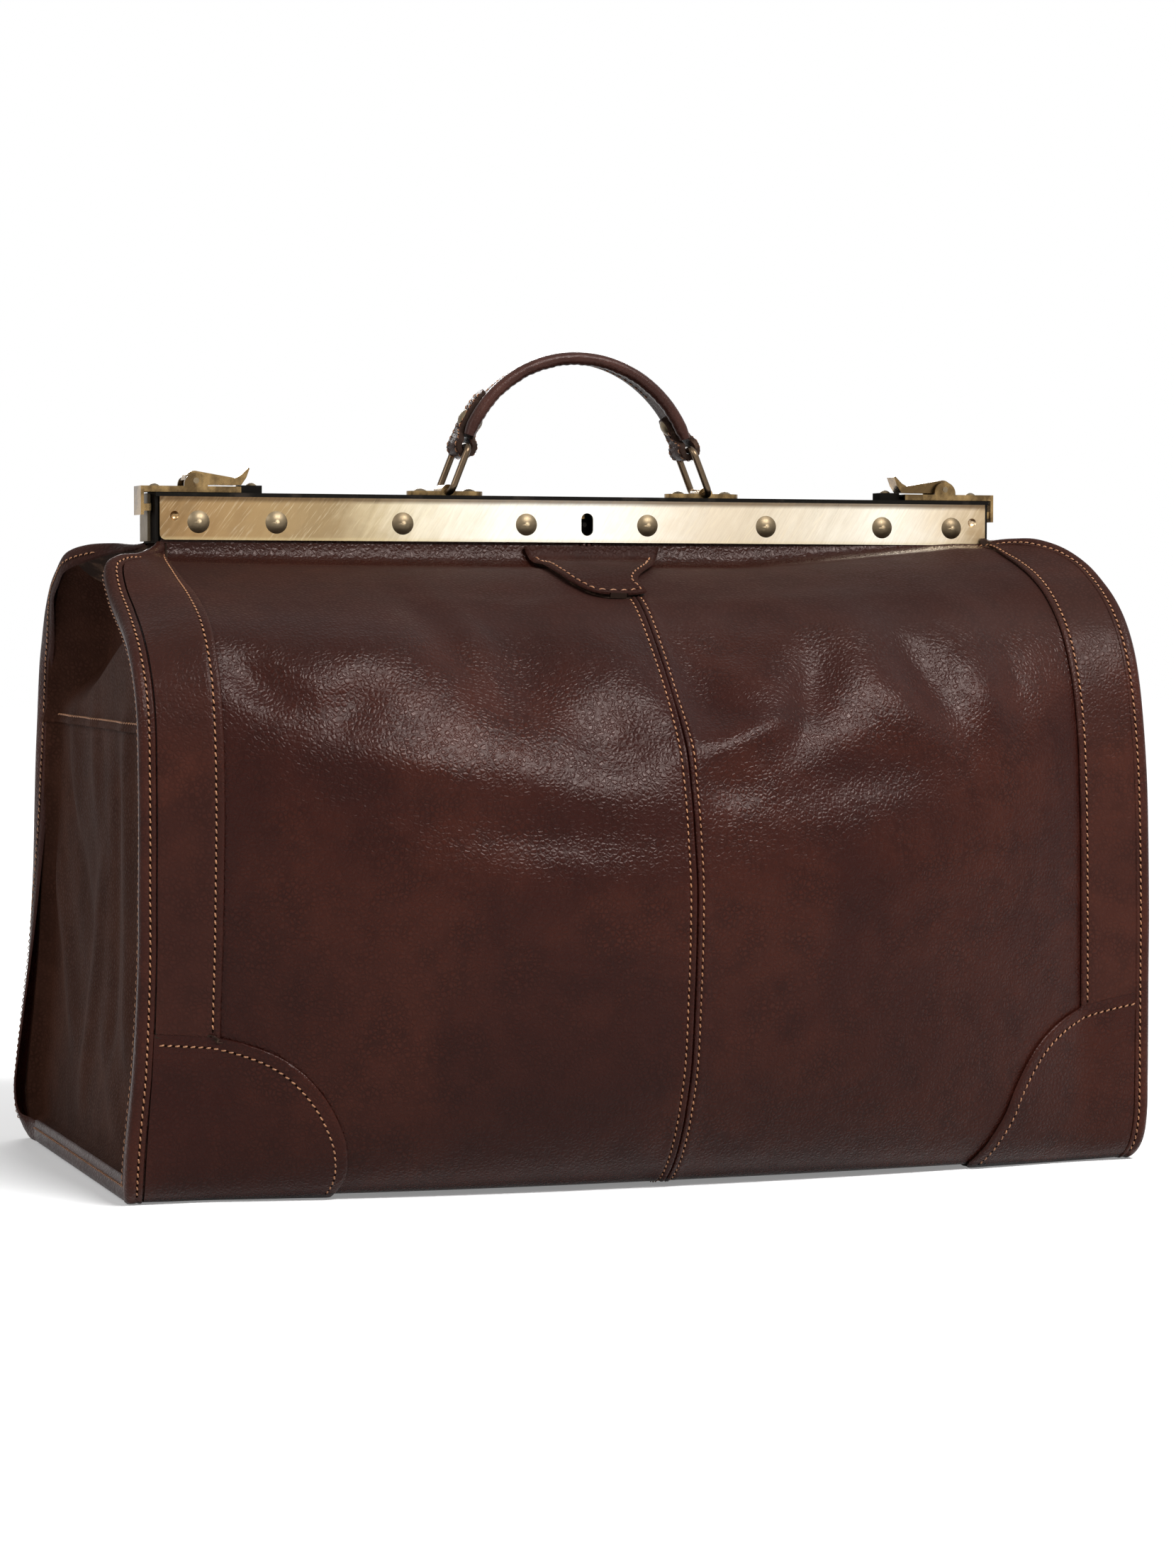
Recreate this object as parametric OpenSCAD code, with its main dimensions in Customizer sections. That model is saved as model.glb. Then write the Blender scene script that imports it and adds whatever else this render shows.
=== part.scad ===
// Travel bag with a hinged metal mouth frame, two lever latches and a rolled handle.
// X runs along the bag, -Y is the front with the keyhole, +Z is up.
// The origin is on the floor, under the middle of the bag.

/* [Bag body] */
// Length of the bag over its end bindings
bag_length = 520; // [500:1:540]
// Depth of the bag over its leather, front to back
bag_depth = 250; // [240:1:260]
// Height of the shoulders above the flat walls
shoulder_rise = 69; // [64:1:76]
// Depth of the shoulders' crest below the frame's top
crest_drop = 37; // [35:1:42]
// Distance of the crest from the middle plane
crest_y = 35; // [32:1:40]
// How far the stuffed belly stands out from the flat walls
belly = 52; // [30:1:56]
// Radius of the lower edges
edge_r = 12; // [10:1:16]
// Thickness of the panel leather
skin = 3; // [2.4:0.1:3.4]
// Thickness of bands and patches laid on the panels
overlay = 1.6; // [1:0.1:2]

/* [Trim] */
// Width of the end binding
binding_w = 5; // [4:0.5:6]
// Width of the upright bands
band_w = 36; // [28:1:44]
// Length of a corner patch along the bag
patch_w = 92; // [80:1:100]
// Height of a corner patch
patch_h = 82; // [70:1:90]
// Half width of the lock tab at the frame
tab_half = 36; // [30:1:40]
// Reach of the lock tab over the shoulder
tab_reach = 80; // [70:1:84]

/* [Mouth frame] */
// Distance from an end of the bag to the end of the steel bars
bar_inset = 35; // [34:1:40]
// Top of the frame
frame_top = 338; // [336:1:340]
// Height of the bars and the brass plates on them
bar_height = 24; // [22:0.5:25]
// Outer face of the brass plates, from the middle plane
plate_y = 15; // [14.5:0.1:16]
// Depth of the plate rivets below the frame's top
rivet_drop = 14.5; // [12:0.5:16]
// Depth of the hinge pins below the frame's top
hinge_drop = 114; // [112:1:118]

/* [Handle] */
// Half distance between the ring plates
mount_x = 70; // [66:1:74]
// Middle of the handle, behind the middle plane
handle_y = 6; // [5:0.5:7]
// Radius of the handle's arch
arch_r = 63; // [60:1:64]
// Length of a ring, between the middles of its cross wires
ring_len = 25.2; // [24:0.1:27]
// Radius of the ring wire
wire_r = 1.75; // [1.5:0.05:1.8]

/* [Latches] */
// Distance of a lever's pivot from the end of the bars
pivot_inset = 22; // [21:0.5:24]
// Height of a lever's pivot above the frame's top
pivot_rise = 6.1; // [6:0.1:6.4]
// Width of a hook plate, front to back
hook_w = 16; // [15:0.5:17]

/* [Hidden] */
$fn = 48;

// Colours
brown = [0.24, 0.13, 0.11];
dark_brown = [0.17, 0.1, 0.09];
brass = [0.72, 0.6, 0.38];
bronze = [0.36, 0.28, 0.2];
steel = [0.09, 0.09, 0.09];
cloth = [0.3, 0.22, 0.17];

// The leather shell's outline
half_length = bag_length / 2;
half_depth = bag_depth / 2;
bar_half = half_length - bar_inset;
frame_low = frame_top - bar_height;
rivet_z = frame_top - rivet_drop;
hinge_z = frame_top - hinge_drop;
crest_z = frame_top - crest_drop;
shoulder_z = crest_z - shoulder_rise;
panel_end = half_length - binding_w;
shoulder_reach = half_depth - crest_y;
belly_in = 10;
belly_foot = 0.3;
belly_low = -6;
belly_rise = 30;
belly_high = shoulder_z + belly_rise;
belly_z = (belly_low + belly_high) / 2;
belly_ry = belly_in + belly;
belly_rz = (belly_high - belly_low) / 2 / sqrt(1 - pow(belly_in / belly_ry, 2));
plan_extra = 4;
plan_ry = belly_ry + plan_extra;
belly_gap = 12;
plan_rx = (panel_end - band_w - belly_gap) / sqrt(1 - pow(belly_in / plan_ry, 2));
neck_r = 7;
neck_foot = frame_low + 1;
neck_top = frame_top - 5;

// Layers of a frame half, from its brass plate inwards
plate_t = 1.6;
fit_gap = 0.3;
neck_skin = 2;
web_t = 1.5;
plate_in = plate_y - plate_t;
neck_half = plate_in - fit_gap;
web_out = neck_half - neck_skin - fit_gap;
web_in = web_out - web_t;
flange_t = 2;
flange_z = frame_top - flange_t;
front_split = -3.2;
back_split = -2.8;
plate_half = bar_half - 2;
plate_low = frame_low + 0.6;
end_t = 1.5;
end_in = bar_half - end_t;
end_slot_y = [-7.6, -3.8];
end_slot_z = [frame_top - 9.6, frame_top - 4.9];
neck_end = bar_half - 4;
horn_y = 30;
neck_cut_z = crest_z - 39;

// Rivets of a frame plate, out from the middle
rivet_pitch = (bar_half - 28.5) / 3;
rivet_xs = [rivet_pitch / 2, rivet_pitch * 1.5, rivet_pitch * 2.5, bar_half - 21.5];
rivet_shank = 2;
rivet_head = 5.65;
rivet_dome = 2.2;
dimple_x = bar_half - 9.5;
dimple_z = frame_top - 11.5;

// Keyhole and lock
key_z = rivet_z + 0.3;
key_r = 3.2;
key_rise = 2.6;
case_half = 17;
case_z = [frame_low + 2.5, frame_top - 4.5];
case_back = -3.6;
case_wall = 1;
bolt_z = [frame_top - 11.1, frame_top - 7.7];
bolt_y = [-6.9, -5.5];
bolt_x = [-14, 1.5];
eye_x = [4.6, 7];

// Gusset
gusset_x = half_length - 16;
gusset_t = 2.4;
gusset_seam = hinge_z - 2;
gusset_top = crest_z - 1;
gusset_top_x = bar_half - 1;
flange_in = skin + 2.2;

// Hinge arms
arm_t = 2.2;
front_arm_x = bar_half - 9.5;
back_arm_x = front_arm_x + arm_t + 0.6;
arm_foot = 9.5;
arm_w = 6;
arm_eye = 6;
pin_r = 2.5;
running = 0.05;

// Latch
pivot_x = bar_half - pivot_inset;
hook_out = bar_half + 6;
hook_in = bar_half - 45;
hook_t = 1.6;
claw_z = frame_top - 11;
skirt_z = frame_top + 0.4;
web_z = [frame_top + 2.2, frame_top + 3.4];
skirt_t = 1.4;
base_top = frame_top + 1.2;
base_y = [-2.3, 6.3];
guide_x = bar_half - 3;
guide_y = 2;
small_shank = 1.6;
block_len = 11;
block_x = [hook_in - 1 - block_len, hook_in - 1];
block_rivet = block_x[0] + 4.5;
block_top = web_z[1] + 0.8;
slide_travel = 3;
latch_pin_r = 1.5;
ear_r = 6;
ear_z = frame_top + 4;
pivot_z = frame_top + pivot_rise;
hub_r = 5;
lever_half = 4.9;
lever_wall = 1.3;
lobe_half = 1.2;
lobe_y = [0.2, 2.8];
lobe_drop = 5.6;
lobe_room = 0.8;
tooth_tip = bar_half + 0.5;
tooth_gap = 0.6;

// Handle and rings
ring_half = 12.5;
ring_corner = 4;
wire_z = frame_top + wire_r + 0.35;
hump_r = wire_r + 2.1;
ring_plate_t = 2.6;
ring_plate_w = 14;
ring_plate_half = 20;
ring_rivet_x = 13;
loop_angle = 15.7;
ring_lean = asin((mount_x - arch_r * cos(loop_angle)) / ring_len);
arch_z = wire_z + ring_len * cos(ring_lean) - arch_r * sin(loop_angle);
grip_w = 19;
grip_front = handle_y - grip_w / 2;
tube_r = 3.7;
core_r = 2.25;
tube_y = grip_front + tube_r;
flange_half = 1.6;
loop_in = 2.6;
loop_out = 5.8;
ply_t = 3;
tube_angle = 22;
tab_angle = 44;
inner_tab_angle = 34;
handle_rivet_angle = 29;

// Points along an elliptic arc
function arc(cy, cz, ry, rz, from, to, n) = [
    for (i = [0 : n])
        let (a = from + (to - from) * i / n)
        [cy + ry * cos(a), cz + rz * sin(a)]
];

// Half thickness of the neck, drawn in by d
function neck_y(d) = neck_half - d * neck_skin / skin;

// Front half of the bag's section in (y, z), drawn in by d from the leather's outer face
function front_outline(d, top) = concat(
    arc(edge_r - half_depth, edge_r, edge_r - d, edge_r - d, 270, 180, 6),
    arc(-crest_y, shoulder_z, -(shoulder_reach - d), shoulder_rise - d, 0, 90, 14),
    arc(-neck_r - plate_y, crest_z + neck_r, neck_r + d, neck_r + d, -90, 0, 6),
    [[-neck_y(d), neck_foot], [-neck_y(d), top]]
);

// The whole section, front and back
function outline(d, top) =
    let (front = front_outline(d, top), n = len(front))
    concat(front, [for (i = [n - 1 : -1 : 0]) [-front[i][0], front[i][1]]]);

// Outline of a corner patch in (x, z), its corner at the panel's end
function patch_outline() = concat(
    [[panel_end, -1], [panel_end, patch_h]],
    [for (t = [84 : -12 : 12])
        [panel_end - patch_w * pow(cos(t), 0.8), patch_h * pow(sin(t), 0.8)]],
    [[panel_end - patch_w, 0], [panel_end - patch_w, -1]]
);

// Extrudes a (y, z) shape along X
module along_x(x0, x1) {
    translate([x0, 0, 0])
        rotate([90, 0, 90])
            linear_extrude(height = x1 - x0)
                children();
}

// Extrudes an (x, z) shape along Y
module along_y(y0, y1) {
    translate([0, y1, 0])
        rotate([90, 0, 0])
            linear_extrude(height = y1 - y0)
                children();
}

// A box between two corners
module span(a, b) {
    translate(a)
        cube(b - a);
}

// A rod along X, Y or Z
module rod_x(x0, x1, y, z, r) {
    translate([x0, y, z])
        rotate([0, 90, 0])
            cylinder(h = x1 - x0, r = r);
}

module rod_y(x, y0, y1, z, r) {
    translate([x, y1, z])
        rotate([90, 0, 0])
            cylinder(h = y1 - y0, r = r);
}

module rod_z(x, y, z0, z1, r) {
    translate([x, y, z0])
        cylinder(h = z1 - z0, r = r);
}

// A dome of foot radius r and height h, standing on z = 0
module dome(r, h) {
    ball = (r * r + h * h) / (2 * h);
    intersection() {
        translate([0, 0, h - ball])
            sphere(r = ball);
        cylinder(h = h + 1, r = r + 1);
    }
}

// The same module at one end and, mirrored, at the other
module at_right() {
    mirror([1, 0, 0])
        children();
}

module at_back() {
    mirror([0, 1, 0])
        children();
}

module both_ends() {
    children();
    at_right()
        children();
}

// The bag's section as a solid, drawn in by d
module section_solid(d, x0, x1, top = neck_top) {
    along_x(x0, x1)
        polygon(outline(d, top));
}

// A wall between two drawn-in sections
module wall(outer, inner, x0, x1) {
    difference() {
        section_solid(outer, x0, x1);
        section_solid(inner, x0 - 1, x1 + 1, neck_top + 1);
    }
}

// The stuffed front belly, drawn in by d: an elliptic section, rounded off towards both
// ends by an elliptic plan, and cut flat just above the floor
module belly_solid(d) {
    intersection() {
        translate([0, belly_in - half_depth, belly_z])
            scale([1, belly_ry - d, belly_rz - d])
                rotate([0, 90, 0])
                    cylinder(h = bag_length, r = 1, center = true);
        translate([0, belly_in - half_depth, 0])
            scale([plan_rx - d, plan_ry - d, 1])
                cylinder(h = frame_top, r = 1);
        span([-half_length, -2 * half_depth, belly_foot + d], [half_length, 0, frame_top]);
    }
}

// The space in front of the middle plane, less the flat bottom
module front_side(x0, x1, top = frame_top) {
    along_x(x0, x1)
        polygon([
            [-half_depth - belly - 5, 0], [edge_r - half_depth, 0], [edge_r - half_depth, edge_r],
            [0, edge_r], [0, top], [-half_depth - belly - 5, top]
        ]);
}

// What is cut away beyond the ends of the neck
module neck_corner() {
    span([neck_end, -horn_y, neck_cut_z], [half_length + 1, horn_y, frame_top]);
}

// The keyhole's tall oval
module keyhole(y0, y1, extra = 0) {
    along_y(y0, y1)
        union() {
            translate([0, key_z + key_rise])
                circle(r = key_r + extra);
            translate([0, key_z - key_rise])
                circle(r = key_r + extra);
            translate([-key_r - extra, key_z - key_rise])
                square([2 * (key_r + extra), 2 * key_rise]);
        }
}

// The right half of a front panel
module front_panel() {
    difference() {
        intersection() {
            union() {
                section_solid(0, 0, panel_end);
                belly_solid(0);
            }
            front_side(0, panel_end);
        }
        section_solid(skin, -1, panel_end + 1, neck_top + 1);
        belly_solid(skin);
        neck_corner();
        for (x = rivet_xs)
            rod_y(x, -plate_y, 0, rivet_z, rivet_shank + 0.4);
    }
}

module front_panel_right() {
    color(brown)
        difference() {
            front_panel();
            keyhole(-plate_y, 0, 1);
        }
}

module front_panel_left() {
    color(brown)
        at_right()
            difference() {
                front_panel();
                keyhole(-plate_y, 0, 1);
            }
}

module back_panel_right() {
    color(brown)
        at_back()
            front_panel();
}

module back_panel_left() {
    color(brown)
        at_back()
            at_right()
                front_panel();
}

// The prism that a corner patch is cut from
module patch_prism() {
    along_y(-2 * half_depth, edge_r - half_depth + 1)
        polygon(patch_outline());
}

// An upright band laid on the panel, beside the binding
module side_band() {
    color(brown)
        difference() {
            intersection() {
                wall(-overlay, 0, panel_end - band_w, panel_end);
                span([0, -half_depth - 5, edge_r], [half_length, -horn_y, frame_top]);
            }
            patch_prism();
        }
}

module side_band_front_right() {
    side_band();
}

module side_band_front_left() {
    at_right()
        side_band();
}

module side_band_back_right() {
    at_back()
        side_band();
}

module side_band_back_left() {
    at_back()
        at_right()
            side_band();
}

// A patch over a lower corner
module corner_patch() {
    color(dark_brown)
        difference() {
            intersection() {
                union() {
                    section_solid(-overlay, 0, panel_end);
                    belly_solid(-overlay);
                }
                patch_prism();
                span([0, -2 * half_depth, belly_foot], [half_length, edge_r - half_depth, patch_h + 1]);
            }
            section_solid(0, -1, panel_end + 1, neck_top + 1);
            belly_solid(0);
        }
}

module corner_patch_front_right() {
    corner_patch();
}

module corner_patch_front_left() {
    at_right()
        corner_patch();
}

module corner_patch_back_right() {
    at_back()
        corner_patch();
}

module corner_patch_back_left() {
    at_back()
        at_right()
            corner_patch();
}

// The rolled binding that runs down, under and up round one end
module edge_binding() {
    color(brown)
        difference() {
            intersection() {
                wall(-1, flange_in, panel_end, half_length);
                span([0, -half_depth - 5, 0], [half_length, half_depth + 5, frame_top]);
            }
            neck_corner();
        }
}

module edge_binding_right() {
    edge_binding();
}

module edge_binding_left() {
    at_right()
        edge_binding();
}

// The lower end wall with the flange that is sewn to the panels
module gusset_lower() {
    color(brown)
        difference() {
            intersection() {
                section_solid(skin, gusset_x, panel_end);
                span([0, -half_depth, 0], [half_length, half_depth, gusset_seam]);
            }
            section_solid(flange_in, gusset_x + gusset_t, panel_end + 1);
        }
}

// The upper end wall, which leans in towards the frame
module gusset_upper() {
    color(dark_brown)
        difference() {
            intersection() {
                section_solid(skin, gusset_top_x, panel_end);
                along_y(-half_depth, half_depth)
                    polygon([
                        [gusset_x, gusset_seam], [panel_end, gusset_seam],
                        [panel_end, gusset_top], [gusset_top_x, gusset_top]
                    ]);
            }
            intersection() {
                section_solid(flange_in, gusset_top_x, panel_end + 1);
                along_y(-half_depth, half_depth)
                    polygon([
                        [gusset_x + gusset_t, gusset_seam - 1], [panel_end + 1, gusset_seam - 1],
                        [panel_end + 1, gusset_top + 1], [gusset_top_x + gusset_t, gusset_top + 1]
                    ]);
            }
        }
}

module gusset_right_lower() {
    gusset_lower();
}

module gusset_left_lower() {
    at_right()
        gusset_lower();
}

module gusset_right_upper() {
    gusset_upper();
}

module gusset_left_upper() {
    at_right()
        gusset_upper();
}

module base_panel() {
    color(brown)
        span([-panel_end, edge_r - half_depth, 0], [panel_end, half_depth - edge_r, skin]);
}

// Stiff board inside, on the bottom leather
board_t = 3;
board_half = gusset_x - 0.5;

module base_board() {
    color([0.55, 0.45, 0.33])
        span([-board_half, edge_r + 1 - half_depth, skin],
             [board_half, half_depth - edge_r - 1, skin + board_t]);
}

// Lining: an open box below the hinge, and a sheet under each shoulder
lining_t = 2;
lining_foot = skin + board_t;
lining_out = skin + 0.3;

module lining_body() {
    color(cloth)
        difference() {
            intersection() {
                section_solid(lining_out, -board_half, board_half);
                span([-half_length, -half_depth, lining_foot],
                     [half_length, half_depth, gusset_seam]);
            }
            intersection() {
                section_solid(lining_out + lining_t, lining_t - board_half,
                              board_half - lining_t, frame_top);
                span([-half_length, -half_depth, lining_foot + lining_t],
                     [half_length, half_depth, gusset_seam + 1]);
            }
        }
}

module lining_front() {
    color(cloth)
        intersection() {
            wall(lining_out, lining_out + 1.2, 1 - neck_end, neck_end - 1);
            span([-neck_end, -half_depth, gusset_seam], [neck_end, -horn_y - 2, frame_top]);
        }
}

module lining_back() {
    at_back()
        lining_front();
}

// Leather tab that hangs from the frame over the shoulder's middle
module lock_tab() {
    tip = 14;
    waist = 17;
    color(brown)
        intersection() {
            wall(-3.2, 0, -tab_half - 1, tab_half + 1);
            translate([0, 0, shoulder_z])
                linear_extrude(height = frame_low - 0.4 - shoulder_z)
                    polygon([
                        [-tab_half, 0], [-tab_half, -plate_y - 4], [-tab_half + 4, -plate_y - 14],
                        [-waist, -tab_reach + 22], [-tip - 1, -tab_reach + 8],
                        [-tip + 3, -tab_reach + 1], [0, -tab_reach], [tip - 3, -tab_reach + 1],
                        [tip + 1, -tab_reach + 8], [waist, -tab_reach + 22],
                        [tab_half - 4, -plate_y - 14], [tab_half, -plate_y - 4], [tab_half, 0]
                    ]);
        }
}

// Domed rivets through a frame plate, with a burr behind the web
module plate_rivets() {
    color(bronze)
        for (x = rivet_xs, s = [-1, 1]) {
            rod_y(s * x, -plate_y, -web_in, rivet_z, rivet_shank);
            rod_y(s * x, -web_in, 0.8 - web_in, rivet_z, 3);
            translate([s * x, -plate_y, rivet_z])
                rotate([90, 0, 0])
                    dome(rivet_head, rivet_dome);
        }
}

module rivet_holes(r) {
    for (x = rivet_xs, s = [-1, 1])
        rod_y(s * x, -plate_y - 1, 0, rivet_z, r);
}

// Brass plate of the front half, without its keyhole
module brass_plate() {
    difference() {
        along_y(-plate_y, -plate_in)
            union() {
                translate([-plate_half, plate_low + 3])
                    square([2 * plate_half, flange_z - plate_low - 3]);
                translate([-plate_half + 3, plate_low])
                    square([2 * plate_half - 6, 4]);
                for (s = [-1, 1])
                    translate([s * (plate_half - 3), plate_low + 3])
                        circle(r = 3);
            }
        rivet_holes(rivet_shank);
        for (s = [-1, 1])
            translate([s * dimple_x, -plate_y - 1.6, dimple_z])
                sphere(r = 2.8);
    }
}

module front_plate() {
    color(brass)
        difference() {
            brass_plate();
            keyhole(-plate_y - 1, 0);
        }
}

module back_plate() {
    color(brass)
        at_back()
            brass_plate();
}

// Steel bar of the front half: top flange, web and two end flanges
module front_bar() {
    color(steel)
        difference() {
            union() {
                along_x(-bar_half, bar_half)
                    union() {
                        translate([-plate_y, flange_z])
                            square([plate_y + front_split, flange_t]);
                        translate([-web_out, frame_low])
                            square([web_t, flange_z - frame_low + 1]);
                    }
                both_ends()
                    span([end_in, 0.2 - plate_in, frame_low - 1], [bar_half, front_split, flange_z + 1]);
            }
            both_ends()
                span([end_in - 1, end_slot_y[0], end_slot_z[0]],
                     [bar_half + 1, end_slot_y[1], end_slot_z[1]]);
            rivet_holes(rivet_shank);
            keyhole(-plate_y, 0);
        }
}

module back_bar() {
    color(steel)
        difference() {
            union() {
                along_x(-bar_half, bar_half)
                    union() {
                        translate([back_split, flange_z])
                            square([plate_y - back_split, flange_t]);
                        translate([web_in, frame_low])
                            square([web_t, flange_z - frame_low + 1]);
                    }
                both_ends()
                    span([end_in, back_split, frame_low - 1], [bar_half, plate_in - 0.2, flange_z + 1]);
            }
            at_back()
                rivet_holes(rivet_shank);
        }
}

module front_rivets() {
    plate_rivets();
}

module back_rivets() {
    at_back()
        plate_rivets();
}

// Arm from a bar down to the hinge pin, drawn for the front half
module arm(x, bore) {
    difference() {
        along_x(x, x + arm_t)
            union() {
                polygon([
                    [-web_in, flange_z], [-web_in + arm_w, flange_z],
                    [-web_in + arm_w, frame_low - 14], [arm_eye - 0.6, hinge_z + 2.6],
                    [-arm_eye, hinge_z], [-web_in, frame_low - 18]
                ]);
                translate([0, hinge_z])
                    circle(r = arm_eye);
            }
        rod_x(x - 1, x + arm_t + 1, 0, hinge_z, bore);
    }
}

module front_arms() {
    color(steel)
        both_ends() {
            arm(front_arm_x, pin_r + running);
            span([front_arm_x - arm_foot, -web_in, frame_low - 4],
                 [front_arm_x, -web_in + 5, frame_low]);
        }
}

module back_arms() {
    color(steel)
        both_ends()
            at_back()
                arm(back_arm_x, pin_r);
}

// Rivets that join the arms, fixed in the rear arms
module hinge_pins() {
    color(bronze)
        both_ends() {
            rod_x(front_arm_x - 0.4, back_arm_x + arm_t, 0, hinge_z, pin_r);
            rod_x(front_arm_x - 1.6, front_arm_x - 0.4, 0, hinge_z, 4.5);
            rod_x(back_arm_x + arm_t, back_arm_x + arm_t + 1.2, 0, hinge_z, 4.5);
        }
}

// Caps over the ends of the rear bar
module end_caps() {
    color(brass)
        both_ends()
            span([bar_half, back_split + 0.3, frame_low], [bar_half + 1.5, plate_y - 0.2, frame_top - 0.5]);
}

// Lock case behind the front web, with the post that guides a key
module lock_case() {
    color(bronze)
        union() {
            difference() {
                span([-case_half, -web_in, case_z[0]], [case_half, case_back, case_z[1]]);
                span([case_wall - case_half, case_wall - web_in, case_z[0] + case_wall],
                     [case_half - case_wall, case_back - case_wall, case_z[1] - case_wall]);
                keyhole(-plate_y, -web_in + case_wall + 0.5);
                span([eye_x[0] - 0.6, case_back - 2, bolt_z[0] - 2.3],
                     [eye_x[1] + 0.6, case_back + 1, case_z[1] - case_wall]);
            }
            rod_y(0, -web_out, case_back - case_wall / 2, key_z, 1.2);
        }
}

// Bolt that slides through the keeper's eye
module lock_bolt() {
    color(brass)
        span([bolt_x[0], bolt_y[0], bolt_z[0]], [bolt_x[1], bolt_y[1], bolt_z[1]]);
}

// Keeper under the rear flange, with an eye for the bolt
module lock_keeper() {
    color(steel)
        difference() {
            union() {
                span([eye_x[0], -8, bolt_z[0] - 1.7], [eye_x[1], 0, bolt_z[1] + 1.5]);
                span([eye_x[0], back_split + 0.2, bolt_z[0] - 1.7], [eye_x[1], 2, flange_z]);
                span([eye_x[0] - 6, back_split + 0.2, flange_z - 1.4], [eye_x[1] + 6, 6, flange_z]);
            }
            span([eye_x[0] - 1, bolt_y[0] - 0.2, bolt_z[0] - 0.3],
                 [eye_x[1] + 1, bolt_y[1] + 0.2, bolt_z[1] + 0.4]);
        }
}

// Latch base on the rear flange, drawn for the right end
module latch_base() {
    color(bronze)
        difference() {
            union() {
                span([block_x[0], base_y[0], frame_top], [bar_half - 0.5, base_y[1], base_top]);
                span([block_x[0], base_y[0], frame_top], [block_x[1], base_y[1] + 1.5, block_top]);
            }
            span([pivot_x - lobe_half - slide_travel - lobe_room, lobe_y[0] - lobe_room, frame_top - 1],
                 [pivot_x + lobe_half * 2, lobe_y[1] + lobe_room, base_top + 1]);
            for (x = [guide_x, block_rivet])
                rod_z(x, guide_y, frame_top - 1, block_top + 1, small_shank);
        }
}

module latch_base_right() {
    latch_base();
}

module latch_base_left() {
    at_right()
        latch_base();
}

// Domed rivets of both latch bases: one guides the hook plate, one holds the block
module latch_rivets() {
    color(bronze)
        both_ends() {
            rod_z(guide_x, guide_y, frame_top, web_z[1] + 0.2, small_shank);
            translate([guide_x, guide_y, web_z[1] + 0.2])
                dome(2.7, 1.3);
            rod_z(block_rivet, guide_y, frame_top, block_top, small_shank);
            translate([block_rivet, guide_y, block_top])
                dome(2.9, 1.5);
        }
}

// L-shaped plate that slides outwards and carries the lever between two ears
module latch_hook() {
    half_w = hook_w / 2;
    window_half = lever_half + 0.5;
    slot_r = small_shank + 0.2;
    color(brass)
        difference() {
            union() {
                span([hook_in, -half_w, web_z[0]], [hook_out, half_w, web_z[1]]);
                for (s = [0, 1]) {
                    y0 = s * (hook_w - skirt_t) - half_w;
                    span([hook_in, y0, skirt_z], [hook_out, y0 + skirt_t, web_z[0] + 0.5]);
                    along_y(y0, y0 + skirt_t)
                        union() {
                            translate([pivot_x, ear_z])
                                circle(r = ear_r);
                            translate([pivot_x - ear_r, web_z[0]])
                                square([2 * ear_r, ear_z - web_z[0]]);
                        }
                }
                span([hook_out - hook_t, -half_w, claw_z], [hook_out, half_w, web_z[1]]);
                span([tooth_tip, end_slot_y[0] + tooth_gap, end_slot_z[0] + tooth_gap],
                     [hook_out - 1, end_slot_y[1] - tooth_gap, end_slot_z[1] - tooth_gap]);
            }
            // Window for the hub, slot for the guide rivet and room under the ears' arcs
            span([pivot_x - ear_r - 0.6, -window_half, web_z[0] - 1],
                 [pivot_x + ear_r, window_half, web_z[1] + 1]);
            span([guide_x - slide_travel, guide_y - slot_r, web_z[0] - 1],
                 [guide_x, guide_y + slot_r, web_z[1] + 1]);
            rod_z(guide_x, guide_y, web_z[0] - 1, web_z[1] + 1, slot_r);
            rod_z(guide_x - slide_travel, guide_y, web_z[0] - 1, web_z[1] + 1, slot_r);
            span([pivot_x - ear_r - 1, -half_w - 1, ear_z - ear_r - 1],
                 [pivot_x + ear_r + 1, half_w + 1, skirt_z]);
            rod_y(pivot_x, -half_w - 1, half_w + 1, pivot_z, latch_pin_r);
        }
}

module latch_hook_right() {
    latch_hook();
}

module latch_hook_left() {
    at_right()
        latch_hook();
}

module latch_pin() {
    color(bronze)
        rod_y(pivot_x, -hook_w / 2 - 0.3, hook_w / 2 + 0.3, pivot_z, latch_pin_r);
}

module latch_pin_right() {
    latch_pin();
}

module latch_pin_left() {
    at_right()
        latch_pin();
}

// Side view of a lever from its pivot, x towards the bag's middle
lever_edge = [
    [0.9, hub_r - 0.1], [20.8, 1.6], [23.6, 3.1], [27.4, 6.8], [28.1, 6.5],
    [26.4, 1.9], [23.8, -1.9], [1, -1.9]
];
lever_hollow = [[4.4, -3.1], [4.4, 3.3], [20, 0.3], [22, -3.1]];

// Pressed lever with a rounded hub, an upturned tip and a cam lobe in the base's slot
module latch_lever() {
    color(brass)
        translate([pivot_x, 0, pivot_z])
            difference() {
                union() {
                    along_y(-lever_half, lever_half)
                        union() {
                            intersection() {
                                circle(r = hub_r);
                                translate([-hub_r, 0.4])
                                    square([2 * hub_r, hub_r]);
                            }
                            circle(r = 3.6);
                            mirror([1, 0])
                                polygon(lever_edge);
                        }
                    span([-lobe_half, lobe_y[0], -lobe_drop], [lobe_half, lobe_y[1], 0]);
                }
                along_y(lever_wall - lever_half, lever_half - lever_wall)
                    mirror([1, 0])
                        polygon(lever_hollow);
                rod_y(0, -lever_half - 1, lever_half + 1, 0, latch_pin_r + running);
            }
}

module latch_lever_right() {
    latch_lever();
}

module latch_lever_left() {
    at_right()
        latch_lever();
}

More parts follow.
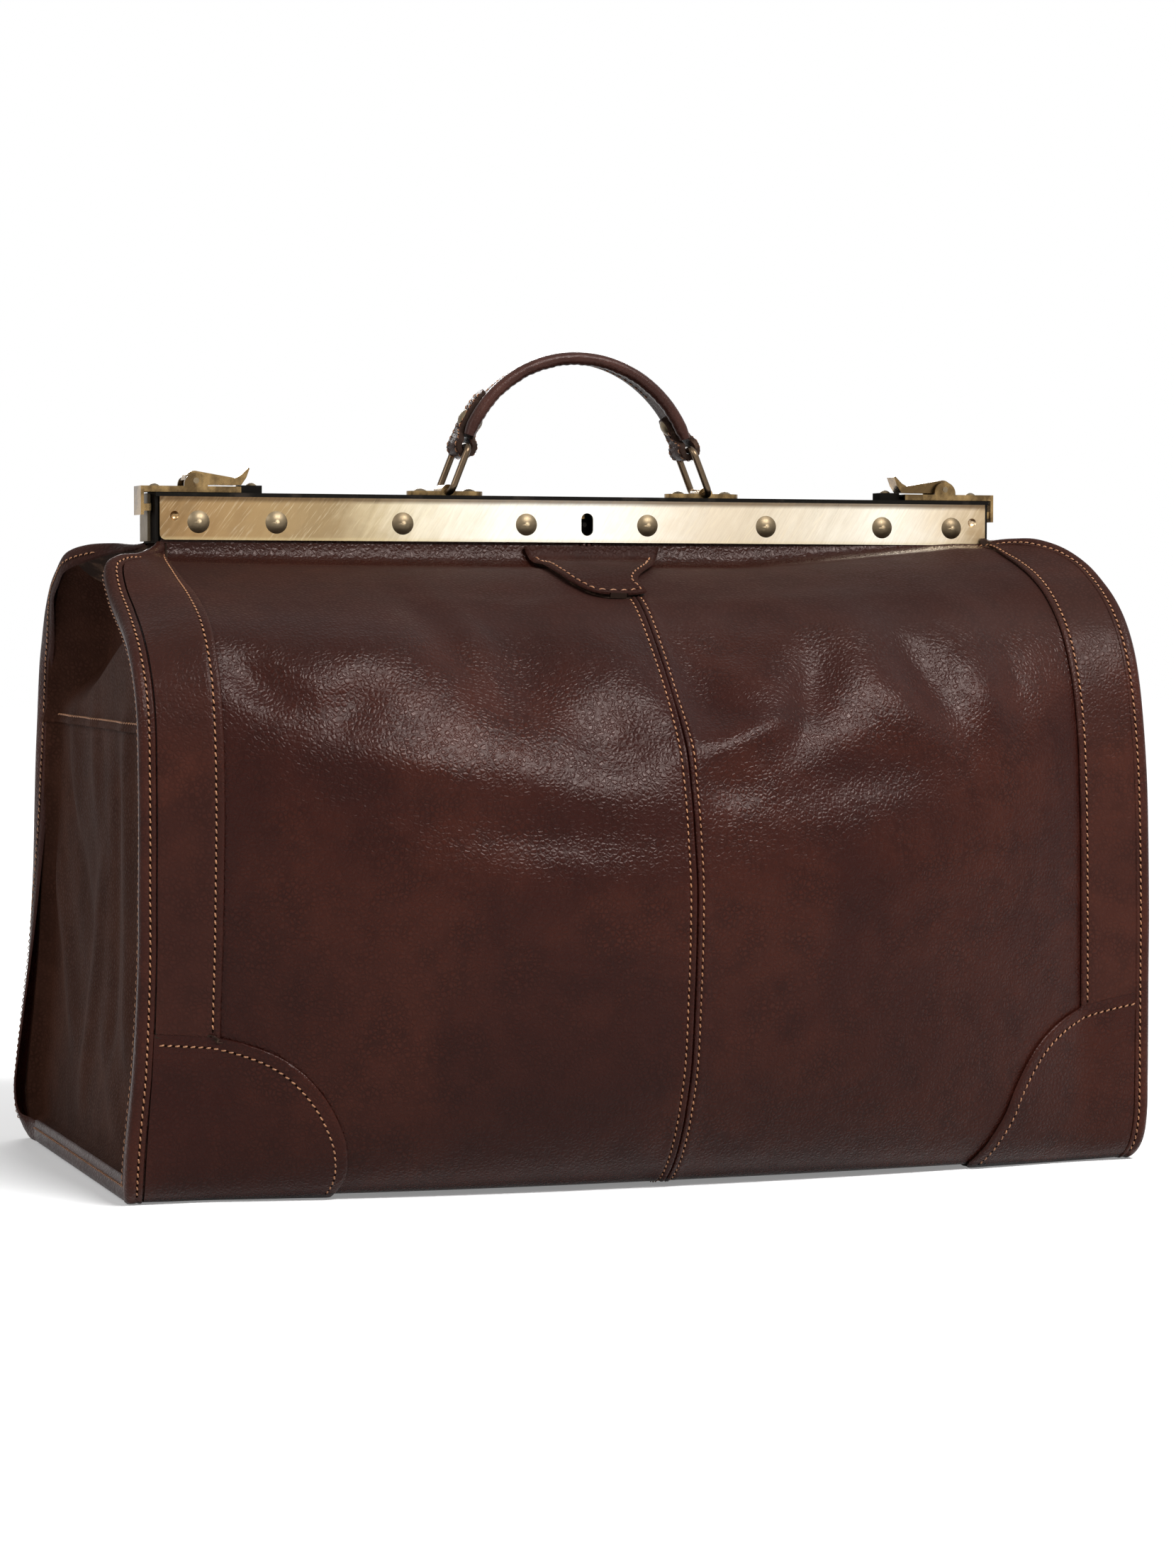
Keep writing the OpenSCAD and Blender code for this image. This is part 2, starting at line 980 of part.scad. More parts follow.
// Plate with rounded ends, bridged over the ring's foot wire
module ring_plate() {
    half_w = ring_plate_w / 2;
    color(brass)
        difference() {
            union() {
                for (s = [-1, 1])
                    rod_z(mount_x + s * (ring_plate_half - half_w), handle_y,
                          frame_top, frame_top + ring_plate_t, half_w);
                span([mount_x - ring_plate_half + half_w, handle_y - half_w, frame_top],
                     [mount_x + ring_plate_half - half_w, handle_y + half_w, frame_top + ring_plate_t]);
                intersection() {
                    rod_y(mount_x, handle_y - half_w, handle_y + half_w, wire_z, hump_r);
                    span([mount_x - hump_r - 1, handle_y - half_w - 1, frame_top],
                         [mount_x + hump_r + 1, handle_y + half_w + 1, wire_z + hump_r + 1]);
                }
            }
            rod_y(mount_x, handle_y - half_w - 1, handle_y + half_w + 1, wire_z, wire_r + running);
            for (s = [-1, 1])
                rod_z(mount_x + s * ring_rivet_x, handle_y, frame_top - 1,
                      frame_top + 2 * ring_plate_t, small_shank);
        }
}

module ring_plate_right() {
    ring_plate();
}

module ring_plate_left() {
    at_right()
        ring_plate();
}

module ring_plate_rivets() {
    color(bronze)
        both_ends()
            for (s = [-1, 1]) {
                rod_z(mount_x + s * ring_rivet_x, handle_y, frame_top,
                      frame_top + ring_plate_t, small_shank);
                translate([mount_x + s * ring_rivet_x, handle_y, frame_top + ring_plate_t])
                    dome(3.6, 1.5);
            }
}

// A quarter turn of wire in the (y, z) plane, from +y round to +z
module wire_corner() {
    rotate([90, 0, 90])
        rotate_extrude(angle = 90)
            translate([ring_corner, 0])
                circle(r = wire_r, $fn = 32);
}

// Rectangular ring with its foot wire on the pivot, standing up
module ring_shape() {
    straight_y = ring_half - ring_corner;
    straight_z = ring_len - 2 * ring_corner;
    for (z = [0, ring_len])
        rod_y(0, -straight_y, straight_y, z, wire_r, $fn = 32);
    for (y = [-ring_half, ring_half])
        rod_z(0, y, ring_corner, ring_corner + straight_z, wire_r, $fn = 32);
    for (s = [0, 1], t = [0, 1])
        mirror([0, s, 0])
            translate([0, straight_y, ring_corner + t * straight_z])
                mirror([0, 0, 1 - t])
                    wire_corner();
}

module ring_right() {
    color(bronze)
        translate([mount_x, handle_y, wire_z])
            rotate([0, -ring_lean, 0])
                ring_shape();
}

module ring_left() {
    color(bronze)
        at_right()
            translate([mount_x, handle_y, wire_z])
                rotate([0, -ring_lean, 0])
                    ring_shape();
}

// Turns a (radius, -y) shape about the arch's axis, from one angle to another
module along_arch(from, to) {
    translate([0, 0, arch_z])
        rotate([90, 0, 0])
            rotate([0, 0, from])
                rotate_extrude(angle = to - from, $fn = 120)
                    children();
}

// A (radius, -y) rectangle given in real y
module ply(r0, r1, y0, y1) {
    translate([r0, -y1])
        square([r1 - r0, y1 - y0]);
}

// Rolled leather with a cord in its front fold and a flat stitched flange behind
module handle_grip() {
    grip_back = grip_front + grip_w;
    color(brown)
        difference() {
            along_arch(tube_angle, 180 - tube_angle)
                difference() {
                    union() {
                        translate([arch_r, -tube_y])
                            circle(r = tube_r);
                        ply(arch_r - flange_half, arch_r + flange_half, tube_y, grip_back);
                    }
                    translate([arch_r, -tube_y])
                        circle(r = core_r);
                }
            both_ends()
                rotate_on_arch(handle_rivet_angle)
                    cylinder(h = 20, r = 1.5, center = true);
        }
}

module handle_core() {
    color(cloth)
        along_arch(tube_angle, 180 - tube_angle)
            translate([arch_r, -tube_y])
                circle(r = core_r);
}

// Stands a child on the arch at an angle, its z axis pointing outwards
module rotate_on_arch(angle) {
    translate([arch_r * cos(angle), handle_y + tube_r, arch_z + arch_r * sin(angle)])
        rotate([0, 90 - angle, 0])
            children();
}

// A wedge of the (x, z) plane, seen from the arch's centre
module wedge(from, to) {
    reach = 2 * arch_r;
    polygon([[0, 0], reach * [cos(from), sin(from)], reach * [cos(to), sin(to)]]);
}

// A piece of a round band about the arch's centre
module band_piece(r0, r1, from, to) {
    intersection() {
        difference() {
            circle(r = r1, $fn = 120);
            circle(r = r0, $fn = 120);
        }
        wedge(from, to);
    }
}

// Edge of the strap: a loop round the ring and two plies about the grip's flange
module strap_edge() {
    stack = flange_half + ply_t;
    past = tab_angle + 2;
    difference() {
        union() {
            translate(arch_r * [cos(loop_angle), sin(loop_angle)])
                circle(r = loop_out);
            band_piece(arch_r - stack, arch_r + stack, loop_angle, tab_angle);
        }
        translate(arch_r * [cos(loop_angle), sin(loop_angle)])
            circle(r = loop_in);
        band_piece(arch_r - flange_half, arch_r + flange_half, tube_angle, past);
        band_piece(arch_r - stack - 2, arch_r, inner_tab_angle, past);
    }
}

// Leather strap that loops round a ring and is riveted through the grip's flange
module handle_strap() {
    front = grip_front + 0.3;
    back = grip_front + grip_w - 0.3;
    tab_front = tube_y + tube_r + 0.4;
    color(dark_brown)
        difference() {
            translate([0, 0, arch_z])
                along_y(front, back)
                    strap_edge();
            translate([0, 0, arch_z])
                along_y(front - 1, tab_front)
                    wedge(tube_angle, tab_angle + 4);
            rotate_on_arch(handle_rivet_angle)
                cylinder(h = 20, r = 1.5, center = true);
        }
}

module handle_strap_right() {
    handle_strap();
}

module handle_strap_left() {
    at_right()
        handle_strap();
}

module handle_rivets() {
    head = 4.3;
    // The heads' flat feet clear the straps' curve by its rise under a head
    stack = flange_half + ply_t + head * head / (2 * (arch_r - flange_half - ply_t)) + 0.01;
    color(bronze)
        both_ends()
            rotate_on_arch(handle_rivet_angle) {
                cylinder(h = 2 * stack, r = 1.5, center = true);
                translate([0, 0, stack])
                    dome(head, 1.6);
                mirror([0, 0, 1])
                    translate([0, 0, stack])
                        dome(head, 1.6);
            }
}

front_panel_left();
front_panel_right();
back_panel_left();
back_panel_right();
side_band_front_left();
side_band_front_right();
side_band_back_left();
side_band_back_right();
corner_patch_front_left();
corner_patch_front_right();
corner_patch_back_left();
corner_patch_back_right();
edge_binding_left();
edge_binding_right();
gusset_left_lower();
gusset_left_upper();
gusset_right_lower();
gusset_right_upper();
base_panel();
base_board();
lining_body();
lining_front();
lining_back();
lock_tab();
front_bar();
front_plate();
front_rivets();
front_arms();
lock_case();
lock_bolt();
back_bar();
back_plate();
back_rivets();
back_arms();
end_caps();
hinge_pins();
lock_keeper();
latch_base_left();
latch_base_right();
latch_rivets();
latch_hook_left();
latch_hook_right();
latch_pin_left();
latch_pin_right();
latch_lever_left();
latch_lever_right();
ring_plate_left();
ring_plate_right();
ring_plate_rivets();
ring_left();
ring_right();
handle_grip();
handle_core();
handle_strap_left();
handle_strap_right();
handle_rivets();
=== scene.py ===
# %% [markdown]
# A leather travel bag with a metal mouth frame.
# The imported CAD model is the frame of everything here: its metal parts stay as they are
# and get a finish, while each leather part is made anew as leather, in the same place.
# The sizes of pieces are millimetres, and turn into metres as a piece is made. The camera,
# the lamps and the finishes are in metres.

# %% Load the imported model
import math
import bpy
import numpy as np
from mathutils import Matrix, Vector


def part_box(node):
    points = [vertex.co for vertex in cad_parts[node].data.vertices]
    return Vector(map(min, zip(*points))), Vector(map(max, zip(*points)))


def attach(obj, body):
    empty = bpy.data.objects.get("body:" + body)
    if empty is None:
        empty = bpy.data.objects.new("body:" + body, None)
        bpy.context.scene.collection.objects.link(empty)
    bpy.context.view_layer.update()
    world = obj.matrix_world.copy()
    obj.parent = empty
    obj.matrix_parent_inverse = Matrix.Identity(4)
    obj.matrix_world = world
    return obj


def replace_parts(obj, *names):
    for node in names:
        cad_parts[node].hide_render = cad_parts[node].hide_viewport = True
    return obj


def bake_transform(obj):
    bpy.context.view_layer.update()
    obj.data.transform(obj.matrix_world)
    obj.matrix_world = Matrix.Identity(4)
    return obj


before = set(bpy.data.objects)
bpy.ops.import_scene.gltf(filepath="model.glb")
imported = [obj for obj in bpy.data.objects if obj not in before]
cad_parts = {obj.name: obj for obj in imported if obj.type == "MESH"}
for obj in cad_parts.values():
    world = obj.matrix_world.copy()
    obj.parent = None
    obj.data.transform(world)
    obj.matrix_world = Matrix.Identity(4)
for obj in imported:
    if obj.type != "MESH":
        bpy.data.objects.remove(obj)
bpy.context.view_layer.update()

MM = 0.001
SIDES = {"front": -1, "back": 1}
HANDS = {"left": -1, "right": 1}
QUARTERS = [(where, side, hand, sign) for where, side in SIDES.items() for hand, sign in HANDS.items()]

# %% [markdown]
# The camera stands where the photographer stood: left of the middle and almost level.
# Its place was fitted to the frame's corners, rivets and lower corners.

# %% Camera
def stand(thing, place, ahead, roll=0.0):
    """Bring a camera or lamp into the scene, at a place, looking ahead."""
    bpy.context.scene.collection.objects.link(thing)
    turn = Vector(ahead).to_track_quat("-Z", "Y").to_matrix() @ Matrix.Rotation(roll, 3, "Z")
    thing.matrix_world = Matrix.Translation(Vector(place)) @ turn.to_4x4()


EYE_AT = (-0.646, -1.909, 0.2806)
YAW, PITCH, ROLL = (math.radians(degrees) for degrees in (18.85, -2.57, 0.08))
eye = bpy.data.objects.new("camera", bpy.data.cameras.new("camera"))
eye.data.lens, eye.data.sensor_width = 89.51, 36
level = math.cos(PITCH)
stand(eye, EYE_AT, (math.sin(YAW) * level, math.cos(YAW) * level, math.sin(PITCH)), ROLL)
bpy.context.scene.camera = eye
bpy.context.scene.view_settings.view_transform = "Standard"
print("camera lens", round(eye.data.lens, 2), "mm")

# %% [markdown]
# Shader sums read best as sums. Strand wraps one socket that carries a number, so that
# 1 - mask adds a Math node by itself. Bench makes every other kind of node.

# %% Shader helpers
class Strand:
    """A number that runs between nodes."""

    def __init__(self, tree, socket):
        self.tree, self.socket = tree, socket

    def sum_with(self, operation, left, right):
        node = self.tree.nodes.new("ShaderNodeMath")
        node.operation = operation
        for place, value in zip(node.inputs, (left, right)):
            plug(self.tree, place, value)
        return Strand(self.tree, node.outputs[0])

    def __add__(self, other):
        return self.sum_with("ADD", self, other)

    def __radd__(self, other):
        return self.sum_with("ADD", other, self)

    def __sub__(self, other):
        return self.sum_with("SUBTRACT", self, other)

    def __rsub__(self, other):
        return self.sum_with("SUBTRACT", other, self)

    def __mul__(self, other):
        return self.sum_with("MULTIPLY", self, other)


def plug(tree, place, value):
    """Join a link, or set a plain value, on a node's socket."""
    if isinstance(value, Strand):
        tree.links.new(value.socket, place)
    elif isinstance(value, bpy.types.NodeSocket):
        tree.links.new(value, place)
    elif isinstance(value, tuple) and len(value) == 3 and place.type == "RGBA":
        place.default_value = (*value, 1)
    else:
        place.default_value = value


class Bench:
    """One finish in the making: its nodes and its shader."""

    def __init__(self, name):
        self.finish = bpy.data.materials.new(name)
        self.finish.use_nodes = True
        self.tree = self.finish.node_tree
        self.shader = self.tree.nodes["Principled BSDF"]

    def node(self, kind, settings, sockets, out=0):
        """A node with its settings and inputs, and one of its outputs."""
        node = self.tree.nodes.new("ShaderNode" + kind)
        for key, value in settings.items():
            if key == "stops":
                elements = node.color_ramp.elements
                while len(elements) < len(value):
                    elements.new(0.5)
                for element, (spot, tone) in zip(elements, value):
                    element.position = spot
                    element.color = (*tone, 1)
            else:
                setattr(node, key, value)
        for key, value in sockets.items():
            plug(self.tree, node.inputs[key], value)
        socket = node.outputs[out]
        return Strand(self.tree, socket) if socket.type == "VALUE" else socket

    def place(self):
        return self.node("TexCoord", {}, {}, "Object")

    def noise(self, scale, detail=3.0, rough=0.5, at=None, warp=0.0):
        """Cloudy noise, from 0 to 1."""
        sockets = {"Vector": at or self.place(), "Scale": scale, "Detail": detail, "Roughness": rough,
                   "Distortion": warp}
        return self.node("TexNoise", {}, sockets, "Fac")

    def between(self, value, low, high, low_out=0.0, high_out=1.0):
        """A number eased from one range to another."""
        sockets = {"Value": value, "From Min": low, "From Max": high, "To Min": low_out, "To Max": high_out}
        return self.node("MapRange", {"interpolation_type": "SMOOTHSTEP"}, sockets)

    def mix(self, share, one, other):
        """Two colours mixed by a share."""
        node = self.tree.nodes.new("ShaderNodeMix")
        node.data_type = "RGBA"
        for place, value in zip((node.inputs[0], node.inputs[6], node.inputs[7]), (share, one, other)):
            plug(self.tree, place, value)
        return node.outputs[2]

    def coordinate(self, axis):
        """One of the piece's own coordinates, in metres."""
        return self.node("SeparateXYZ", {}, {0: self.place()}, axis)

    def stretched(self, size, turn=(0, 0, 0)):
        """The piece's own coordinates, turned and then stretched."""
        sockets = {"Vector": self.place(), "Scale": tuple(1 / s for s in size), "Rotation": turn}
        return self.node("Mapping", {"vector_type": "TEXTURE"}, sockets)

    def lines(self, across, along, slant, detail=3.0, rough=0.6):
        """Noise drawn out into fine lines that lean by an angle in degrees."""
        at = self.stretched((across, across, along), (0.0, math.radians(slant), 0.0))
        return self.noise(1.0, detail, rough, at=at)

    def bump(self, height, depth, strength=1.0, under=None):
        sockets = {"Height": height, "Distance": depth, "Strength": strength}
        if under:
            sockets["Normal"] = under
        return self.node("Bump", {}, sockets)

    def done(self, **sockets):
        for key, value in sockets.items():
            plug(self.tree, self.shader.inputs[key.replace("_", " ")], value)
        return self.finish


print("shader helpers ready")

# %% [markdown]
# The bag's leather is dark brown, oiled and glossy, with a pebbled grain of two or three
# millimetres whose valleys stay dark. Cells of a Voronoi texture, bent by noise, give the
# pebbles, and slow noise gives the clouds of redder and darker brown that hand dyeing leaves.

# %% Leather finishes
PEBBLE_BEND = (0.0016, 0.0016, 0.0016)
VALLEY_SHADE = 0.62
# Where the shoulder and the neck begin and end, in metres
SHOULDER, NECK, OFF_MIDDLE = (0.236, 0.286), (0.262, 0.290), (0.020, 0.026)
# Painted shade for the top of the shoulder: darker and less red than the leather
SHOULDER_PAINTED_SHADE = (0.0135, 0.0052, 0.0036)
WARM_GLINT = (1.0, 0.84, 0.79)


def leather_finish(name, deep, warm, gloss=0.26, grain=0.00018, pebble=450.0, painted_shade_dull_neck=0.0, shine=0.10):
    """Dyed leather: clouds of two browns, pebbled grain, and valleys that shine less.
    When the neck's dullness is given, the shoulder is darkened with painted shade and the neck beside the frame is
    made that much duller."""
    bench = Bench(name)
    bend = bench.node("TexNoise", {}, {"Vector": bench.place(), "Scale": 240.0}, "Color")
    spot = bench.node("VectorMath", {"operation": "MULTIPLY_ADD"}, {0: bend, 1: PEBBLE_BEND, 2: bench.place()})
    cells = bench.node("TexVoronoi", {"feature": "DISTANCE_TO_EDGE"}, {"Vector": spot, "Scale": pebble}, "Distance")
    dome = bench.between(cells, 0.0, 0.34)
    valley = 1 - dome
    clouds = bench.between(bench.noise(11.0, 5.0, 0.62, warp=0.6), 0.34, 0.68)
    wander = bench.between(bench.noise(60.0, 2.0, 0.5), 0.35, 0.7, 0.25, 0.75)
    tone = bench.mix(valley * wander, bench.mix(clouds, deep, warm), tuple(c * VALLEY_SHADE for c in deep))
    rough = gloss + valley * 0.10 + (bench.noise(26.0, 3.0, 0.6) - 0.5) * 0.10
    if painted_shade_dull_neck:
        height = bench.coordinate("Z")
        # Painted shade: the top of the shoulder is darkened
        tone = bench.mix(bench.between(height, *SHOULDER) * 0.55, tone, SHOULDER_PAINTED_SHADE)
        from_middle = bench.node("Math", {"operation": "ABSOLUTE"}, {0: bench.coordinate("Y")})
        neck = bench.between(height, *NECK) * bench.between(from_middle, *OFF_MIDDLE)
        rough = rough + neck * painted_shade_dull_neck
    crumple = bench.bump(bench.noise(38.0, 4.0, 0.55, warp=0.4), 0.0035, 0.35)
    relief = bench.bump(dome * 0.7 + bench.noise(2600.0, 2.0, 0.6) * 0.25, grain, 1.0, crumple)
    return bench.done(Base_Color=tone, Roughness=rough, Specular_IOR_Level=shine, Specular_Tint=WARM_GLINT,
                      Normal=relief)


LEATHER = leather_finish("leather", (0.0195, 0.0046, 0.0033), (0.033, 0.0082, 0.0050), gloss=0.23, painted_shade_dull_neck=0.50)
BAND_LEATHER = leather_finish("band_leather", (0.025, 0.0070, 0.0048), (0.044, 0.0120, 0.0072), gloss=0.30,
                              painted_shade_dull_neck=0.35)
TAB_LEATHER = leather_finish("tab_leather", (0.017, 0.0042, 0.0032), (0.030, 0.0078, 0.0052), gloss=0.42,
                             painted_shade_dull_neck=0.35, shine=0.06)
GUSSET_LEATHER = leather_finish("gusset_leather", (0.031, 0.0125, 0.0079), (0.047, 0.0190, 0.0120), gloss=0.60,
                                shine=0.02)
HANDLE_LEATHER = leather_finish("handle_leather", (0.027, 0.0100, 0.0075), (0.052, 0.0200, 0.0145), grain=0.00006,
                                pebble=900.0, shine=0.13)
STRAP_LEATHER = leather_finish("strap_leather", (0.030, 0.0135, 0.0095), (0.062, 0.030, 0.021), gloss=0.42,
                               grain=0.00012, pebble=700.0, shine=0.04)
print("leather finishes:", LEATHER.name, BAND_LEATHER.name, GUSSET_LEATHER.name)

# %% [markdown]
# Where leather is cut, the edge shows its fibres under a dark edge dye. It is duller than
# the face, and a little lighter where the dye has worn. Thread, cord and board are two
# tones each, and the lining is a plain weave.

# %% Edge, thread, cord, board and lining finishes
GRAIN_DEPTH = 0.0002


def two_tone(name, dark, light, rough, cloud, share=None, grain=None, **more):
    """Two tones in clouds. grain is the scale and strength of its bumps, or only a
    strength where the clouds themselves stand up."""
    bench = Bench(name)
    mask = bench.noise(*cloud)
    if grain:
        height = bench.noise(grain[0]) if len(grain) > 1 else mask
        more["Normal"] = bench.bump(height, GRAIN_DEPTH, grain[-1])
    if share:
        mask = bench.between(mask, *share)
    return bench.done(Base_Color=bench.mix(mask, dark, light), Roughness=rough, **more)


RAW_EDGE = two_tone("raw_edge", (0.018, 0.010, 0.007), (0.070, 0.040, 0.026), 0.72, (120.0, 4.0, 0.6), (0.5, 0.72),
                    (900.0, 0.8), Specular_IOR_Level=0.06)
THREAD = two_tone("thread", (0.13, 0.050, 0.020), (0.34, 0.150, 0.060), 0.55, (1500.0, 2.0, 0.5), (0.3, 0.7), (0.7,))
# The needle holes are flat dark discs of painted shade
NEEDLE_HOLE_SHADE = two_tone("needle_hole_shade", (0.004, 0.002, 0.0015), (0.009, 0.004, 0.003), 0.8, (800.0,),
                       Specular_IOR_Level=0.0)
BOARD = two_tone("board", (0.30, 0.22, 0.13), (0.42, 0.33, 0.22), 0.85, (90.0, 5.0, 0.7), grain=(700.0, 0.5))
CORD = two_tone("cord", (0.45, 0.38, 0.27), (0.62, 0.54, 0.40), 0.9, (500.0, 2.0, 0.5))


def lining_finish():
    """Plain woven cloth: waves of thread both ways."""
    bench = Bench("lining_cloth")
    across, along = (bench.node("TexWave", {"bands_direction": way},
                                {"Vector": bench.place(), "Scale": 260.0, "Distortion": 0.6}, "Fac") for way in "XZ")
    weave = across * 0.5 + along * 0.5
    tone = bench.mix(weave, (0.16, 0.105, 0.060), (0.30, 0.21, 0.13))
    return bench.done(Base_Color=tone, Roughness=0.85, Normal=bench.bump(weave, GRAIN_DEPTH, 0.6))


LINING = lining_finish()
print("edge, thread, cord, board and lining finishes ready")

# %% [markdown]
# Sheets are grids of points: rows run along one edge, columns across it. A leather sheet
# has a face, a back and a cut edge between them, so it is closed all round.

# %% Sheet helpers
def faces_of_grid(rows, columns, wrap=False):
    """Quads between the points of a grid; wrap joins the last column to the first."""
    index = np.arange(rows * columns).reshape(rows, columns)
    if wrap:
        index = np.concatenate([index, index[:, :1]], axis=1)
    return np.stack([index[:-1, :-1], index[1:, :-1], index[1:, 1:], index[:-1, 1:]], -1).reshape(-1, 4)


def unit(vectors):
    """The same directions, each of length 1."""
    return vectors / np.maximum(np.linalg.norm(vectors, axis=-1, keepdims=True), 1e-9)


def facing(grid):
    """The unit normal at each point of a grid."""
    return unit(np.cross(np.gradient(grid, axis=1), np.gradient(grid, axis=0)))


def run_of(path):
    """The length along a path up to each of its points."""
    return np.concatenate([[0], np.cumsum(np.linalg.norm(np.diff(path, axis=0), axis=1))])


def along_run(where, run, values):
    """Rows of values read at lengths along a path."""
    return np.stack([np.interp(where, run, column) for column in values.T], -1)


def make_piece(name, points, faces, finishes, which=None, crease=50.0):
    """A smooth shaded mesh from points in millimetres."""
    mesh = bpy.data.meshes.new(name)
    mesh.from_pydata((np.asarray(points) * MM).tolist(), [], [list(map(int, f)) for f in faces])
    for finish in finishes:
        mesh.materials.append(finish)
    if which is not None:
        mesh.polygons.foreach_set("material_index", np.asarray(which, dtype=np.int32))
    mesh.polygons.foreach_set("use_smooth", np.ones(len(mesh.polygons), dtype=bool))
    mesh.set_sharp_from_angle(angle=math.radians(crease))
    mesh.update()
    piece = bpy.data.objects.new(name, mesh)
    bpy.context.scene.collection.objects.link(piece)
    return piece


# How thick each leather is, and the lining's cloth
THICK = {"panel": 2.6, "second": 1.7, "low_wall": 1.6, "high_wall": 1.5, "tab": 3.0, "bottom": 2.2, "cloth": 0.8}


def leather_sheet(name, face, thick, finish, behind=RAW_EDGE, floor=0.1):
    """A closed sheet: its face is the grid, its back lies a thickness behind. What is
    pressed on the floor lies flat there."""
    face = np.stack([face[..., 0], face[..., 1], np.maximum(face[..., 2], floor)], -1)
    rows, columns = face.shape[:2]
    count = rows * columns
    back = face - facing(face) * THICK[thick]
    points = np.concatenate([face.reshape(-1, 3), back.reshape(-1, 3)])
    top = faces_of_grid(rows, columns)
    under = top[:, ::-1] + count
    index = np.arange(count).reshape(rows, columns)
    loop = np.concatenate([index[0, :-1], index[:-1, -1], index[-1, :0:-1], index[:0:-1, 0]])
    after = np.roll(loop, -1)
    rim = np.stack([loop, after, after + count, loop + count], -1)
    faces = np.concatenate([top, under, rim])
    which = np.concatenate([np.zeros(len(top)), np.ones(len(under)), np.ones(len(rim))])
    piece = make_piece(name, points, faces, [finish, behind], which)
    return piece


def tube_faces(grid, turned, ends_turned):
    """Faces between the rings of a tube, then its two ends."""
    rings, around = grid.shape[:2]
    quads = faces_of_grid(rings, around, wrap=True)
    first, last = np.arange(around), np.arange(around) + (rings - 1) * around
    if ends_turned:
        first = first[::-1]
    else:
        last = last[::-1]
    return list(quads[:, ::-1] if turned else quads) + [first, last]


def through(stations, where):
    """Points on a smooth curve through given stations, at station numbers."""
    stations = np.asarray(stations, float)
    where = np.clip(np.asarray(where, float), 0, len(stations) - 1)
    cell = np.minimum(where.astype(int), len(stations) - 2)
    share = (where - cell)[..., None]
    before, start = stations[np.maximum(cell - 1, 0)], stations[cell]
    end, beyond = stations[cell + 1], stations[np.minimum(cell + 2, len(stations) - 1)]
    return 0.5 * (2 * start + (end - before) * share
                  + (2 * before - 5 * start + 4 * end - beyond) * share ** 2
                  + (3 * start - before - 3 * end + beyond) * share ** 3)


print("sheet helpers ready")

# %% [markdown]
# The body is one lofted skin that sags and bulges, because the bag is stuffed. Its shape was
# read from the photograph as three sections from the frame down to the floor: over the
# middle seam, along each upright band, and round each end's rim, which rises as a horn
# beside the frame. The rear is turned away, so it takes the same sections, without the
# dents, and with the rear rim that shows at the left.

# %% Sections of the skin
MIDDLE = [(-13, 315), (-15.5, 306), (-22, 302), (-40, 300.5), (-62, 296), (-84, 289), (-99, 283.5), (-117, 272),
          (-135, 255), (-150, 238), (-161, 219), (-169, 198), (-175, 173), (-178, 149), (-177.5, 122),
          (-175, 95), (-171, 64), (-164, 43), (-155, 25), (-144, 11), (-131, 2.2), (-113, 0.3), (-88, 0)]
BAND_LEFT = [(-14, 315), (-15, 307), (-24, 303), (-42, 297.5), (-60, 292), (-78, 287.3), (-93, 282), (-108, 275),
             (-121, 264), (-130, 250), (-135, 233), (-138.5, 212), (-139.5, 183), (-137.5, 152), (-135, 122),
             (-131, 95), (-128, 64), (-127, 43), (-125.5, 25), (-121, 10.5), (-112, 2.2), (-100, 0.3), (-85, 0)]
RIM_LEFT = [(-223, -14, 313), (-226, -17, 310.5), (-238, -27, 306.5), (-250, -38, 305), (-256.5, -47, 300.5),
            (-258, -62, 288.5), (-258, -83, 276.5), (-258, -102, 264), (-258, -114, 252), (-258, -121.5, 240),
            (-258, -126, 226), (-258, -127.5, 205), (-258, -128, 175), (-258, -127, 148), (-258, -126.5, 122),
            (-258.5, -125, 95), (-260, -124.5, 64), (-262, -124.5, 43), (-263.5, -124, 25), (-263.5, -120, 10.5),
            (-262, -112, 2.6), (-260, -100, 0.6), (-259, -85, 0)]
BAND_RIGHT = [(-14, 317), (-17, 314), (-29, 311.8), (-43, 307.5), (-58, 303), (-74, 297), (-89, 289), (-102, 278.5),
              (-112, 267), (-119, 254), (-124.5, 240), (-129.5, 218), (-132, 193), (-133.6, 165), (-134.5, 130),
              (-135, 98), (-135, 64), (-134.5, 43), (-132.5, 25), (-127.5, 10.5), (-119, 2.2), (-106, 0.3), (-88, 0)]
RIM_RIGHT = [(223, -14, 316), (227, -21, 316.3), (233, -31, 316.7), (241, -43, 316.3), (250.5, -54, 311.5),
             (257, -68, 303), (258, -86, 293), (258, -100, 283.5), (258, -111, 272.5), (258.3, -119, 259),
             (258.8, -124, 243), (259.3, -128, 221), (260, -130.5, 195), (260, -132.5, 168), (260, -134, 130),
             (260, -134, 98), (260, -134, 64), (260.5, -133, 43), (261, -131.5, 25), (261, -127, 11),
             (260, -118, 3), (259, -104, 0.6), (258, -88, 0)]
BAND_AT = 222.0
END_AT = 258.0
LAST = len(MIDDLE) - 1
REAR_RIM_LEFT = [(-223, 14, 313), (-228, 18, 312), (-238, 27, 312.5), (-249, 38, 311.5), (-256.5, 50, 308),
                 (-258, 66, 300.5), (-258, 84, 291.5), (-258, 97, 279), (-258, 106, 264), (-258, 113, 250),
                 (-258, 119, 226), (-258, 125, 200), (-258, 129, 175), (-258, 133, 150), (-258.5, 137, 122),
                 (-259, 141, 95), (-261, 145, 64), (-262.5, 148, 43), (-263.5, 149, 26), (-263.5, 144, 11),
                 (-262, 134, 2.6), (-260, 116, 0.6), (-259, 88, 0)]
print("sections with", LAST + 1, "stations")

